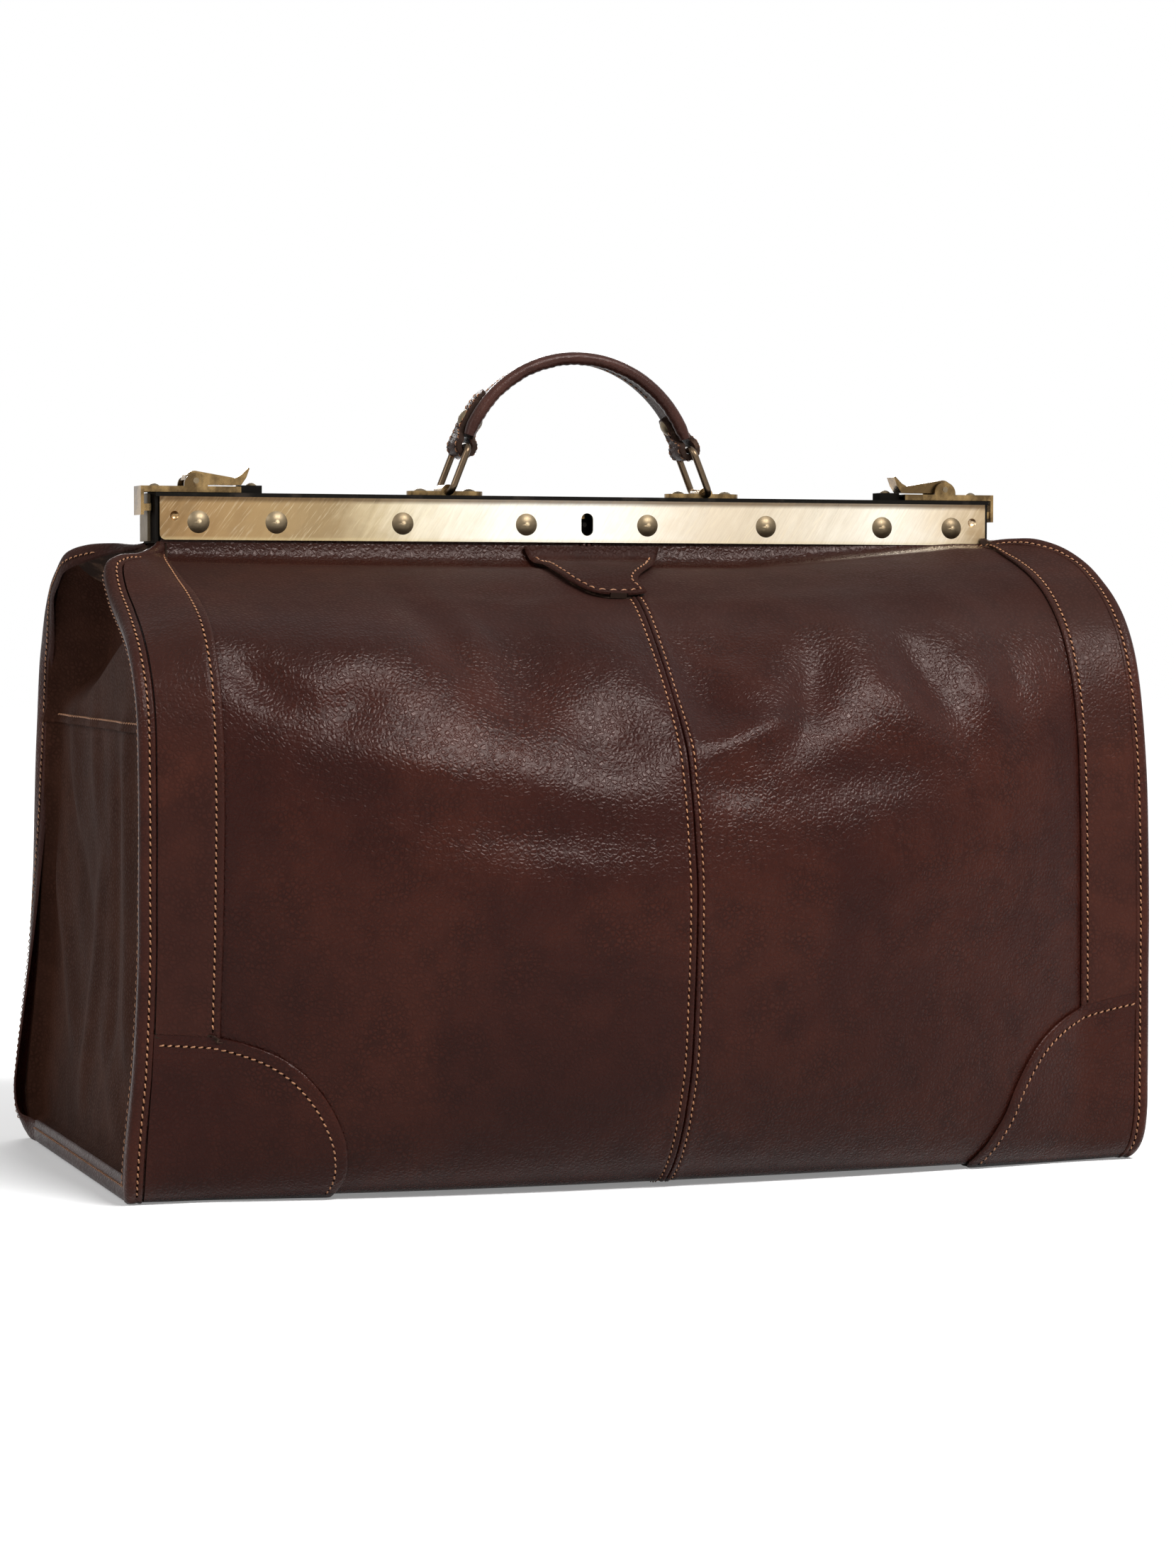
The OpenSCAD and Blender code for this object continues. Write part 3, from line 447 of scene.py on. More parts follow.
# %% [markdown]
# Between the sections the skin is blended: it keeps the belly over most of the width and
# drops to the bands near the ends. The right shoulder climbs towards the frame's end, as it
# does in the photograph. Dents and folds are soft bumps, pushed inwards and a little down.

# %% The skin as a function
def ease(value, low, high):
    """0 below low, 1 above high, smooth between."""
    t = np.clip((value - low) / (high - low), 0, 1)
    return t * t * (3 - 2 * t)


def bump_at(x, z, centre, size, turn):
    """A soft round or long bump on the front, turned in degrees."""
    a = math.radians(turn)
    dx, dz = x - centre[0], z - centre[1]
    along, across = dx * math.cos(a) + dz * math.sin(a), dz * math.cos(a) - dx * math.sin(a)
    return np.exp(-(along / size[0]) ** 2 - (across / size[1]) ** 2)


# Each dent: its centre (x, z), its size along and across, its turn and its depth inwards
FRONT_DENTS = [
    ((-74, 244), (28, 22), 0, 8.5), ((-72, 274), (38, 20), 0, 5.5), ((-36, 222), (26, 21), 22, 6.5),
    ((-70, 176), (58, 14), -4, 3.2), ((15, 242), (18, 20), 38, 9.5), ((14, 270), (28, 18), 0, 6.5),
    ((36, 222), (28, 8), 16, -3.8), ((38, 264), (16, 11), 20, 3.5), ((50, 277), (17, 8), 0, 3.4),
    ((70, 238), (11, 26), -32, 4.8), ((108, 274), (34, 18), -6, -7.0), ((110, 240), (30, 15), -46, -4.2),
    ((138, 246), (32, 13), -54, 4.4), ((166, 242), (20, 34), 12, -3.4), ((164, 284), (20, 14), 0, -4.5),
    ((184, 238), (10, 26), -6, 2.6), ((-202, 247), (20, 10), -32, 4.6), ((-150, 262), (34, 15), 10, -3.4),
    ((-112, 276), (12, 26), 35, 2.6), ((-94, 268), (10, 26), 30, -2.6), ((92, 200), (40, 13), 8, 3.0),
    ((-132, 206), (28, 12), -12, -2.4), ((84, 292), (40, 6), 4, 2.2), ((-52, 291), (20, 6), 24, 2.6),
    ((20, 196), (16, 10), 0, 2.2), ((-160, 236), (10, 16), -50, 2.4)]
DENT_WAY = np.array([0, 0.94, -0.34])


def skin(x, station, side=-1, dents=True):
    """Points of the leather's outer face: x along the bag, station from the frame (0) down
    to the floor. side is -1 for the front and 1 for the rear."""
    x, station = np.broadcast_arrays(np.asarray(x, float), np.asarray(station, float))
    left = x < 0
    middle = through(MIDDLE, station)
    band = np.where(left[..., None], through(BAND_LEFT, station), through(BAND_RIGHT, station))
    share = np.clip(np.abs(x) / BAND_AT, 0, 1)
    low = share ** 2.4
    high = np.where(left, share ** 2.4, np.clip((x - 80) / 125, 0, 1) ** 1.1)
    weight = high + (low - high) * ease(station, 3.5, 7.5)
    yz = middle + (band - middle) * weight[..., None]
    inner = np.stack([np.clip(x, -BAND_AT, BAND_AT), yz[..., 0], yz[..., 1]], -1)
    if side > 0:
        inner = inner * (1, -1, 1)
        rim = through(REAR_RIM_LEFT, station) * np.where(left, 1, -1)[..., None] ** np.array([1, 0, 0])
    else:
        rim = np.where(left[..., None], through(RIM_LEFT, station), through(RIM_RIGHT, station))
    out = np.clip((np.abs(x) - BAND_AT) / (END_AT - BAND_AT), 0, 1)
    points = inner + (rim - inner) * out[..., None]
    if dents and side < 0:
        push = np.zeros_like(x)
        for centre, size, turn, depth in FRONT_DENTS:
            push = push + depth * bump_at(x, points[..., 2], centre, size, turn)
        points = points + push[..., None] * DENT_WAY * ease(station, 1.5, 4)[..., None]
    return points


def even_stations(step, start=0.0, end=LAST, at=0.0, side=-1):
    """Station numbers that lie an equal step apart along the skin."""
    fine = np.linspace(start, end, 2000)
    length = run_of(skin(at, fine, side, False))
    return np.interp(np.linspace(0, length[-1], max(int(length[-1] / step), 3) + 1), length, fine)


def station_at(z, side, x):
    """The station where the skin stands at a height, below the shoulder."""
    stations = np.linspace(4, 20.5, 800)
    return np.interp(-np.asarray(z), -skin(x, stations, side)[:, 2], stations)


print("skin at the middle:", skin(0.0, 13.0).round(1))

# %% [markdown]
# The front and rear are each two panels that meet in a middle seam. The edges are turned
# under there, so a soft ridge stands on each side of a dark crease, and a row of thread
# lies in a groove beside each ridge. Points stand close together near the seam to hold it.

# %% Panels
SEAM_FORM = [(0, -0.7), (0.25, 0.2), (0.6, 0.9), (1.2, 1.2), (1.9, 1.0), (2.6, 0.3), (3.2, -0.25), (3.8, 0.2),
             (4.8, 0.5), (6.5, 0.2), (9, 0)]
NEAR_SEAM = [0.02, 0.25, 0.6, 1.2, 1.9, 2.5, 2.9, 3.2, 3.5, 4.1, 5.0, 6.2, 7.6, 9.5, 12.0]


def seam_height(x):
    """How high the seam's folds stand at a distance from it."""
    return np.interp(np.abs(x), *zip(*SEAM_FORM))


def skin_patch(columns, stations, side, lift=0.0):
    """A grid on the skin; lift is a height above it for each column or point."""
    x, station = np.meshgrid(columns, stations, indexing="ij")
    grid = skin(x, station, side)
    grid = grid - side * facing(grid) * (np.broadcast_to(lift, x.shape) + seam_height(x))[..., None]
    return grid[::-side]


PANEL_FLOOR = 1.9


def follow(piece, side):
    """Bakes a piece's placement into its points. The half of the frame on its side is worked out, but the piece is
    not tied to it and stays where it is.
    """
    body = "front_frame" if side < 0 else "back_frame"
    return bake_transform(piece)


DOWN = even_stations(3.2)
OUTWARD = np.array(NEAR_SEAM + list(np.linspace(15.0, END_AT, 78)))
for where, side, hand, sign in QUARTERS:
    grid = skin_patch(np.sort(OUTWARD * sign), DOWN, side)
    panel = leather_sheet(f"{where}_leather_{hand}", grid, "panel", LEATHER, floor=PANEL_FLOOR)
    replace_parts(panel, f"{where}_panel_{hand}")
    follow(panel, side)
print("panels of", len(OUTWARD), "by", len(DOWN), "points")

# %% [markdown]
# Stitches are real thread here: each one is a short rounded piece that dips into a needle
# hole at both ends and lies slightly askew, as a lockstitch does in thick leather. Each
# needle hole is a small flat dark disc of painted shade.

# %% Stitches
STITCH_STEP = 3.55
STITCH_LONG = 2.7
THREAD_HALF = (0.40, 0.30)
HOLE_SHADE_HALF = (0.85, 0.55)
# The girth and the height of a stitch, from one end to the other
STITCH_GIRTH = [0.55, 0.95, 1.0, 0.95, 0.55]
STITCH_RISE = [-0.22, 0.22, 0.36, 0.22, -0.22]


def one_stitch(step, long):
    """Points and faces of a stitch along X, and of the flat dark disc of painted shade that stands for the needle
    hole at its end.
    """
    rings, around = len(STITCH_GIRTH), 6
    along = np.linspace(-0.5, 0.5, rings) * long
    turn = np.arange(around) / around * 2 * math.pi
    ring = np.stack([np.zeros(around), np.cos(turn) * THREAD_HALF[0], np.sin(turn) * THREAD_HALF[1]], -1)
    points = [ring * [1, g, g] + [a, 0, r] for a, g, r in zip(along, STITCH_GIRTH, STITCH_RISE)]
    points = np.concatenate(points + [np.array([[along[0] - 0.12, 0, -0.2], [along[-1] + 0.12, 0, -0.2]])])
    faces = []
    first, last = rings * around, rings * around + 1
    pairs = [(k, (k + 1) % around) for k in range(around)]
    for low in range(0, (rings - 1) * around, around):
        faces += [[low + k, low + nxt, low + around + nxt, low + around + k] for k, nxt in pairs]
    for k, nxt in pairs:
        faces += [[first, nxt, k], [last, last - 1 - around + k, last - 1 - around + nxt]]
    hole_shade_disc = np.stack([np.cos(turn) * HOLE_SHADE_HALF[0] + step / 2, np.sin(turn) * HOLE_SHADE_HALF[1], np.full(around, 0.12)], -1)
    return points, faces, hole_shade_disc


def stitch_row(path, normals, askew=14.0, step=STITCH_STEP, long=STITCH_LONG):
    """Stitches along a path on a surface: their points, faces and finish numbers."""
    length = run_of(path)
    count = max(int(length[-1] / step), 1)
    middle = (np.arange(count) + 0.5) * length[-1] / count
    at = along_run(middle, length, path)
    ahead = unit(along_run(middle + 1.0, length, path) - along_run(middle - 1.0, length, path))
    up = along_run(middle, length, normals)
    up = unit(up - ahead * np.sum(up * ahead, axis=1, keepdims=True))
    beside = np.cross(up, ahead)
    lean = math.radians(askew)
    slant = ahead * math.cos(lean) + beside * math.sin(lean)
    cross = beside * math.cos(lean) - ahead * math.sin(lean)

    def laid(form, *ways):
        """A form at each stitch, its axes along three directions."""
        placed = at[:, None]
        for axis, way in enumerate(ways):
            placed = placed + form[:, axis:axis + 1] * way[:, None]
        return placed.reshape(-1, 3)

    points, faces, hole_shade_disc = one_stitch(step, long)
    size, edge = len(points), len(hole_shade_disc)
    all_faces = [[n * size + i for i in face] for n in range(count) for face in faces]
    which = [0] * len(all_faces) + [1] * count
    all_faces += [[count * size + n * edge + i for i in range(edge)] for n in range(count)]
    return np.concatenate([laid(points, slant, cross, up), laid(hole_shade_disc, ahead, beside, up)]), all_faces, which


def sew(name, rows, **kind):
    """One object of several stitch rows."""
    points, faces, which, base = [], [], [], 0
    for row in rows:
        row_points, row_faces, row_which = stitch_row(*row, **kind)
        points.append(row_points)
        faces += [[i + base for i in face] for face in row_faces]
        which += row_which
        base += len(row_points)
    piece = make_piece(name, np.concatenate(points), faces, [THREAD, NEEDLE_HOLE_SHADE], which, 60)
    return piece


def line_on_skin(x, stations, side, lift):
    """A path at a height over the skin, and the normals there."""
    x, station = np.broadcast_arrays(np.asarray(x, float), np.asarray(stations, float))
    across = skin(x + 0.05, station, side) - skin(x - 0.05, station, side)
    down = skin(x, station + 0.02, side) - skin(x, station - 0.02, side)
    normal = unit(np.cross(down, across)) * -side
    return skin(x, station, side) + normal * lift, normal


for where, side in SIDES.items():
    rows = [line_on_skin(x, np.linspace(0.3, LAST - 1, 240), side, -0.2) for x in (-3.2, 3.2)]
    follow(sew(f"{where}_seam_stitches", rows), side)
print("a stitch is", STITCH_LONG, "mm of", STITCH_STEP)

# %% [markdown]
# An upright band strengthens each side of the front and the rear. It is a second layer, so
# its inner edge is cut leather that casts a small shadow, with a row of stitches near it.

# %% Bands
BAND_FORM = [(0, 1.0), (0.3, 1.6), (0.9, 1.95), (2.2, 1.85), (3.0, 1.6), (3.7, 1.3), (4.4, 1.6), (5.4, 1.85),
             (9, 1.75), (40, 1.7)]
BAND_COLUMNS = np.array([0, 0.3, 0.9, 2.2, 3.0, 3.7, 4.4, 5.4, 7, 9, 12, 15, 18, 21, 24, 27, 29.5])
BAND_INNER = {"left": 220.5, "right": 221.5}
PATCH_TOP = 81.0

for where, side, hand, sign in QUARTERS:
    low = float(station_at(PATCH_TOP - 3, side, 240.0 * sign))
    columns = sign * (BAND_INNER[hand] + BAND_COLUMNS[::sign])
    lift = np.interp(BAND_COLUMNS[::sign], *zip(*BAND_FORM))[:, None]
    grid = skin_patch(columns, even_stations(3.0, 0.35, low, 235 * sign, side), side, lift)
    band = leather_sheet(f"{where}_band_{hand}", grid, "second", BAND_LEATHER)
    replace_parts(band, f"side_band_{where}_{hand}")
    follow(band, side)
    row = line_on_skin(sign * (BAND_INNER[hand] + 3.7), np.linspace(0.6, low - 0.15, 200), side, 1.45)
    follow(sew(f"{where}_band_{hand}_stitches", [row]), side)
print("bands done")

# %% [markdown]
# A rounded patch covers each lower corner. Its outline is the photograph's: nearly level at
# the top, then a quarter round down to the floor, where it curls under.

# %% Corner patches
PATCH_OUTLINES = {
    "left": [(252, 82), (236, 81), (220, 79.5), (207, 76), (195, 71), (184, 63), (174.5, 52), (168, 41), (163.5, 30),
             (161.5, 20), (161.5, 12), (163.5, 5)],
    "right": [(254, 87), (240, 84.5), (226, 81.5), (213, 77), (203, 71.5), (194, 64), (186, 53), (180.5, 42),
              (177, 31), (172, 20), (167.5, 11), (163.5, 4.5)]}
PATCH_OUTER = 250.6
PATCH_SHARES = np.array([0, 0.1, 0.2, 0.3, 0.4, 0.5, 0.6, 0.7, 0.8, 0.88, 0.94, 0.975, 0.99, 1.0])
PATCH_LIFT = np.array([1.7, 1.8, 1.8, 1.8, 1.8, 1.8, 1.8, 1.8, 1.8, 1.85, 1.9, 1.9, 1.7, 1.1])

for where, side, hand, sign in QUARTERS:
    outline = through(PATCH_OUTLINES[hand], np.linspace(0, 11, 64))
    stations = np.maximum.accumulate(station_at(outline[:, 1], side, 200.0 * sign))
    stations = np.concatenate([stations, [stations[-1] + 0.4, stations[-1] + 0.9, 21.2]])
    reach = np.concatenate([outline[:, 0], [164.5, 166, 168]])
    x = sign * (PATCH_OUTER + (reach - PATCH_OUTER) * PATCH_SHARES[:, None])
    grid = skin(x, stations, side)[::sign * side]
    lift = np.broadcast_to(PATCH_LIFT[:, None], x.shape)[::sign * side]
    grid = grid + facing(grid) * (lift + 0.1)[..., None]
    patch = leather_sheet(f"{where}_patch_{hand}", grid, "second", LEATHER)
    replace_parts(patch, f"corner_patch_{where}_{hand}")
    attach(patch, "bag_body")
    inset = outline[2:-1] + (outline[2:-1] - (270, -20)) * -0.05
    row = line_on_skin(sign * inset[:, 0], station_at(inset[:, 1], side, 200.0 * sign), side, 1.85)
    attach(sew(f"{where}_patch_{hand}_stitches", [row]), "bag_body")
print("corner patches done")

# %% [markdown]
# Each end of the bag has a rim: the panel, the end wall and a strip of leather are sewn
# together and the strip is turned over the edge. Its cross section is drawn once, as
# distances inwards along the face and heights over it, and carried along the rim.

# %% End rims
RIM_FORM = np.array([
    (7.6, 0.2), (7.45, 1.7), (6.9, 2.25), (6.0, 2.1), (5.3, 1.75), (4.8, 1.55), (4.2, 1.8), (3.2, 2.35), (1.8, 2.4),
    (0.5, 1.9), (-0.5, 0.8), (-1.0, -0.9), (-1.0, -3.5), (-0.7, -7.0), (-0.2, -9.6), (0.9, -10.0), (1.6, -8.0),
    (2.2, -4.5), (4.6, -1.6)])
RIM_INWARDS, RIM_RISE = RIM_FORM[:, :1], RIM_FORM[:, 1:]
FOOT_HALF = 112


def rim_path(side, sign, stations):
    """The rim, with its face normal and the direction inwards along the face."""
    at = skin(END_AT * sign, stations, side)
    ahead = unit(np.gradient(at, axis=0))
    high = np.maximum(stations, 0.8)
    inward = skin(BAND_AT * sign, high, side) - skin(END_AT * sign, high, side)
    inward = unit(inward - ahead * np.sum(inward * ahead, axis=1, keepdims=True))
    return at, np.cross(ahead, inward) * (sign * side), inward


def rim_piece(name, grid, turned):
    """A piece of the rim from rings of points."""
    piece = make_piece(name, grid.reshape(-1, 3), tube_faces(grid, turned, turned), [BAND_LEATHER], crease=60)
    return piece


for where, side, hand, sign in QUARTERS:
    fine = np.linspace(0, 21.4, 3000)
    length = run_of(skin(END_AT * sign, fine, side))
    stations = np.interp(np.linspace(0, length[-1], 170), length, fine)
    at, normal, inward = rim_path(side, sign, stations)
    deep = np.where(RIM_RISE < 0, 0.25 + 0.75 * ease(stations, 0.2, 3.5)[:, None, None], 1.0)
    grid = at[:, None] + inward[:, None] * RIM_INWARDS + normal[:, None] * RIM_RISE * deep
    grid[..., 2] = np.maximum(grid[..., 2], 0.25)
    rim = rim_piece(f"{where}_rim_{hand}", grid, side * sign > 0)
    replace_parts(rim, f"edge_binding_{hand}")
    follow(rim, side)
    upright = stations < 19.6
    outer = upright & (stations > 2.5)
    face_row = ((at + inward * 4.8 + normal * 1.7)[upright], normal[upright])
    edge_row = ((at - inward * 1.05 - normal * 5.6)[outer], -inward[outer])
    follow(sew(f"{where}_rim_{hand}_stitches", [face_row, edge_row]), side)
for hand, sign in HANDS.items():
    y = np.linspace(-FOOT_HALF, FOOT_HALF, 60)
    lean = np.interp(y, [-FOOT_HALF, FOOT_HALF], [261.8 if sign < 0 else 260.0, 262.0])
    at = np.stack([sign * lean, y, np.full(60, 2.75)], -1)
    grid = at[:, None] + RIM_INWARDS * (-sign, 0, 0) + RIM_RISE * (0, 0, -1)
    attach(rim_piece(f"bottom_rim_{hand}", grid, sign < 0), "bag_body")
    row = (at + (sign * 1.05, 0, 5.6), np.tile([sign * 1.0, 0, 0], (60, 1)))
    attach(sew(f"bottom_rim_{hand}_stitches", [row]), "bag_body")
print("rims done")

# %% [markdown]
# Each end wall stands a little back from the rims, with a dark crease along the sewn flange.
# Its lower part has soft folds. Above the seam the leather is still full at first, then it
# folds inwards over a slanting ridge, into the hollow between the two halves of the frame.

# %% End walls
SEAM_HEIGHT = 222.0
MARGIN_AT = np.array([2.0, 9.0, 10.0, 11.0, 12.6, 16.0])
MARGIN_DEEP = np.array([1.6, 1.9, 3.6, 6.4, 8.4, 9.0])
HOLLOW_DEEP = 30.0
WALL_INMOST = 225.6
# Each fold runs from (y, z) to (y, z); then its width and how far it stands out
WALL_FOLDS = [((122, 165), (58, 62), 13, 3.4), ((88, 190), (30, 118), 11, -2.4), ((-58, 224), (-62, 70), 12, 3.2),
              ((-30, 205), (-24, 60), 9, -2.2), ((2, 150), (34, 34), 11, 2.6), ((-96, 190), (-92, 30), 9, -2.0),
              ((70, 224), (64, 170), 12, 2.2), ((20, 226), (14, 180), 10, 2.0), ((-10, 70), (-70, 12), 12, 2.0)]


def rim_at(z, side, sign):
    """The rim's point at a height."""
    stations = np.linspace(0, 20.5, 1200)
    fall = np.maximum.accumulate(-skin(END_AT * sign, stations, side)[:, 2] + stations * 1e-6)
    return skin(257.4 * sign, np.interp(-z, fall, stations), side)


def wall_wave(y, z):
    """Soft folds of the wall, each along its own line."""
    push = np.zeros_like(y)
    for (y0, z0), (y1, z1), width, rise in WALL_FOLDS:
        run = np.array([y1 - y0, z1 - z0], float)
        long = np.linalg.norm(run)
        along = ((y - y0) * run[0] + (z - z0) * run[1]) / long
        aside = ((y - y0) * run[1] - (z - z0) * run[0]) / long
        push -= rise * np.exp(-(aside / width) ** 2) * ease(along, -25, 20) * ease(long - along, -25, 20)
    return push


def ridge_height(y):
    """Where the upper wall turns inwards: high at the front, low at the rear."""
    return 268 - (y + 105) * 0.17 - 6 * np.sin(y / 34)


def wall_grid(sign, z, shares):
    """Level rows of the wall; shares run from the front rim (0) to the rear rim (1)."""
    front, rear = rim_at(z, -1, sign), rim_at(z, 1, sign)
    yf, yr = front[:, 1:2], rear[:, 1:2]
    room = (yr - yf) / 2
    at = np.minimum(MARGIN_AT, room * MARGIN_AT / MARGIN_AT[-1] * 0.6)
    inner = (yf + at[:, -1:]) + (yr - yf - 2 * at[:, -1:]) * shares
    y = np.concatenate([yf + at, inner, yr - at[:, ::-1]], axis=1)
    rows = np.broadcast_to(z[:, None], y.shape)
    near = np.minimum(np.minimum(y - yf, yr - y), rows - 1.0)
    depth = np.interp(near, MARGIN_AT, MARGIN_DEEP) + wall_wave(y, rows) * ease(near, 10, 30)
    above = ease(rows - ridge_height(y), -4, 26)
    depth = depth + (HOLLOW_DEEP - depth) * above * ease(near, 10, 26)
    share = (y - yf) / (yr - yf)
    edge = np.abs(front[:, :1]) + (np.abs(rear[:, :1]) - np.abs(front[:, :1])) * share
    return np.stack([sign * np.maximum(edge - depth, WALL_INMOST), y, rows], -1)


LOW_ROWS = np.concatenate([np.linspace(SEAM_HEIGHT, 16, 64), [13, 11, 9, 7, 5, 3.2, 2.2]])
HIGH_ROWS = np.concatenate([np.linspace(306, 296, 8), np.linspace(293, SEAM_HEIGHT + 1.5, 44),
                            [SEAM_HEIGHT + 0.6, SEAM_HEIGHT - 0.6]])
LOW_SHARES, HIGH_SHARES = (np.linspace(0, 1, count)[1:-1] for count in (66, 67))
for hand, sign in HANDS.items():
    low = wall_grid(sign, LOW_ROWS, LOW_SHARES)
    wall = leather_sheet(f"end_wall_{hand}_lower", low[::-sign], "low_wall", GUSSET_LEATHER)
    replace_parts(wall, f"gusset_{hand}_lower")
    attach(wall, "bag_body")
    high = wall_grid(sign, HIGH_ROWS, HIGH_SHARES)
    high[..., 0] += sign * np.interp(HIGH_ROWS, [SEAM_HEIGHT, SEAM_HEIGHT + 7], [2.0, 0.2])[:, None]
    half = high.shape[1] // 2
    for where, part in (("front", high[:, :half + 1]), ("back", high[:, half:])):
        wall = leather_sheet(f"end_wall_{hand}_upper_{where}", part[::-sign], "high_wall", GUSSET_LEATHER)
        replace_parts(wall, f"gusset_{hand}_upper")
        follow(wall, SIDES[where])
    seam = wall_grid(sign, np.array([SEAM_HEIGHT + 3.4]), LOW_SHARES)[0, 4:-4] + (sign * 1.35, 0, 0)
    row = (seam, np.tile([sign * 1.0, 0, 0], (len(seam), 1)))
    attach(sew(f"end_wall_{hand}_stitches", [row]), "bag_body")
print("end walls done")

# %% [markdown]
# A shaped tab hangs from the frame below the lock and hides the top of the middle seam.
# Its outline is lopsided, because the leather under it leans.

# %% Lock tab
TAB_OUTLINE = [(-13.6, -34.5, 38.5), (-16, -32.6, 36.5), (-22, -31.5, 33.8), (-30, -31.2, 30.5), (-39, -31.0, 27),
               (-48, -31.0, 21.5), (-56, -30.8, 16), (-64, -30.3, 11), (-70, -29.8, 8.3), (-76, -28.3, 7.2),
               (-82, -26.3, 7.8), (-87, -24.2, 7.2), (-90, -22.0, 4.8), (-92, -19.2, 0.8), (-93.3, -15.0, -5.0)]
# The stitches stand this far inside the tab's edge, and cross its foot here (x, y)
TAB_EDGE = 3.6
TAB_FOOT = [(-17.5, -88.6), (-10, -89.4), (-3, -88.8)]
TAB_LIFT = 3.3


def tab_station(y):
    """The station at which the front's middle lies at a y."""
    fine = np.linspace(0, 8, 800)
    return np.interp(-y, -skin(0.0, fine, -1, False)[:, 1], fine)


tab_rows = through(TAB_OUTLINE, np.linspace(0, 14, 74))
shares = np.concatenate([[0, 0.01, 0.03], np.linspace(0.07, 0.93, 21), [0.97, 0.99, 1]])
x = tab_rows[:, 1] + (tab_rows[:, 2] - tab_rows[:, 1]) * shares[:, None]
grid = skin(x, tab_station(tab_rows[:, 0]), -1)
edge_fall = np.interp(np.minimum(shares, 1 - shares), [0, 0.01, 0.03], [2.4, 3.1, 3.4])[:, None]
tab = leather_sheet("lock_tab_leather", grid + facing(grid) * edge_fall[..., None], "tab", TAB_LEATHER)
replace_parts(tab, "lock_tab")
follow(tab, -1)
sewn = tab_rows[(tab_rows[:, 0] < -15) & (tab_rows[:, 0] > -86.5)]
tab_path = np.concatenate([np.stack([sewn[:, 1] + TAB_EDGE, sewn[:, 0]], -1), TAB_FOOT,
                           np.stack([sewn[::-1, 2] - TAB_EDGE, sewn[::-1, 0]], -1)])
tab_line = line_on_skin(tab_path[:, 0], tab_station(tab_path[:, 1]), -1, TAB_LIFT)
follow(sew("lock_tab_stitches", [tab_line], step=5.6, long=4.0, askew=8.0), -1)
print("tab done")

# %% [markdown]
# The bottom is a flat sheet between the two curled panels, and the cloth lining follows the
# inside a few millimetres behind the leather.

# %% Bottom and lining
y, x = np.meshgrid(np.linspace(-90, 90, 40), np.linspace(-END_AT, END_AT, 60))
bottom = np.stack([x, y, 0.4 + 0.6 * np.sin(x / 61) ** 2 * np.cos(y / 90 * 1.5) ** 2], -1)
base = leather_sheet("bottom_leather", bottom, "bottom", LEATHER)
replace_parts(base, "base_panel")
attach(base, "bag_body")
LINING_SPLIT = SEAM_HEIGHT + 10
LINING_END = 234


def cloth(name, grid):
    """A sheet of the lining."""
    return leather_sheet(name, grid, "cloth", LINING, LINING)


def lining_sheet(name, side, start, end):
    """The lining behind one side, from a station down to another."""
    share, station = np.meshgrid(np.linspace(-1, 1, 66), np.linspace(start, end, 50), indexing="ij")
    grid = skin(share * np.interp(station, [2.5, 7.5, 12], [215, 223, LINING_END]), station, side)[::-side]
    return cloth(name, grid - facing(grid) * 5.5)


for where, side in SIDES.items():
    split = float(station_at(LINING_SPLIT, side, 0.0))
    high = lining_sheet(f"{where}_lining_cloth", side, 1.6, split)
    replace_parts(high, f"lining_{where}")
    follow(high, side)
    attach(lining_sheet(f"{where}_lining_low", side, split, 20.3), "bag_body")


def inside_at(x, z):
    """Points inside the leather at a height, spread from the front to the rear."""
    front, rear = (skin(x, station_at(z, side, x), side)[..., 1] - side * 7.0 for side in SIDES.values())
    return np.stack(np.broadcast_arrays(x, front + (rear - front) * np.linspace(0, 1, 34), z), -1)


for hand, sign in HANDS.items():
    grid = np.stack([inside_at(236.0 * sign, z) for z in np.linspace(8, 218, 30)])
    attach(cloth(f"end_lining_{hand}", grid[::sign]), "bag_body")
floor_cloth = cloth("floor_lining", np.stack([inside_at(x, 8.0) for x in np.linspace(-LINING_END, LINING_END, 50)]))
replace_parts(floor_cloth, "lining_body")
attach(floor_cloth, "bag_body")
print("bottom and lining done")

# %% [markdown]
# The handle is leather rolled round a cord, with the spare leather left behind as a flat,
# stitched flange. Bent into an arch, the inside of the roll creases. A strap runs round each
# ring, takes the end of the flange between its plies, and is held by one rivet.

# %% Handle
ARCH_R, ARCH_Z = 63.0, 346.45
ROLL_R, ROLL_Y = 3.35, 0.2
FLANGE_BACK, FLANGE_HALF = 20.0, 1.45
ROLL_POINTS = 22


def on_arch(angle, radius, y):
    """A point of the arch's plane, at an angle from the right end."""
    angle, radius, y = np.broadcast_arrays(angle, radius, y)
    return np.stack([radius * np.cos(angle), y, ARCH_Z + radius * np.sin(angle)], -1)


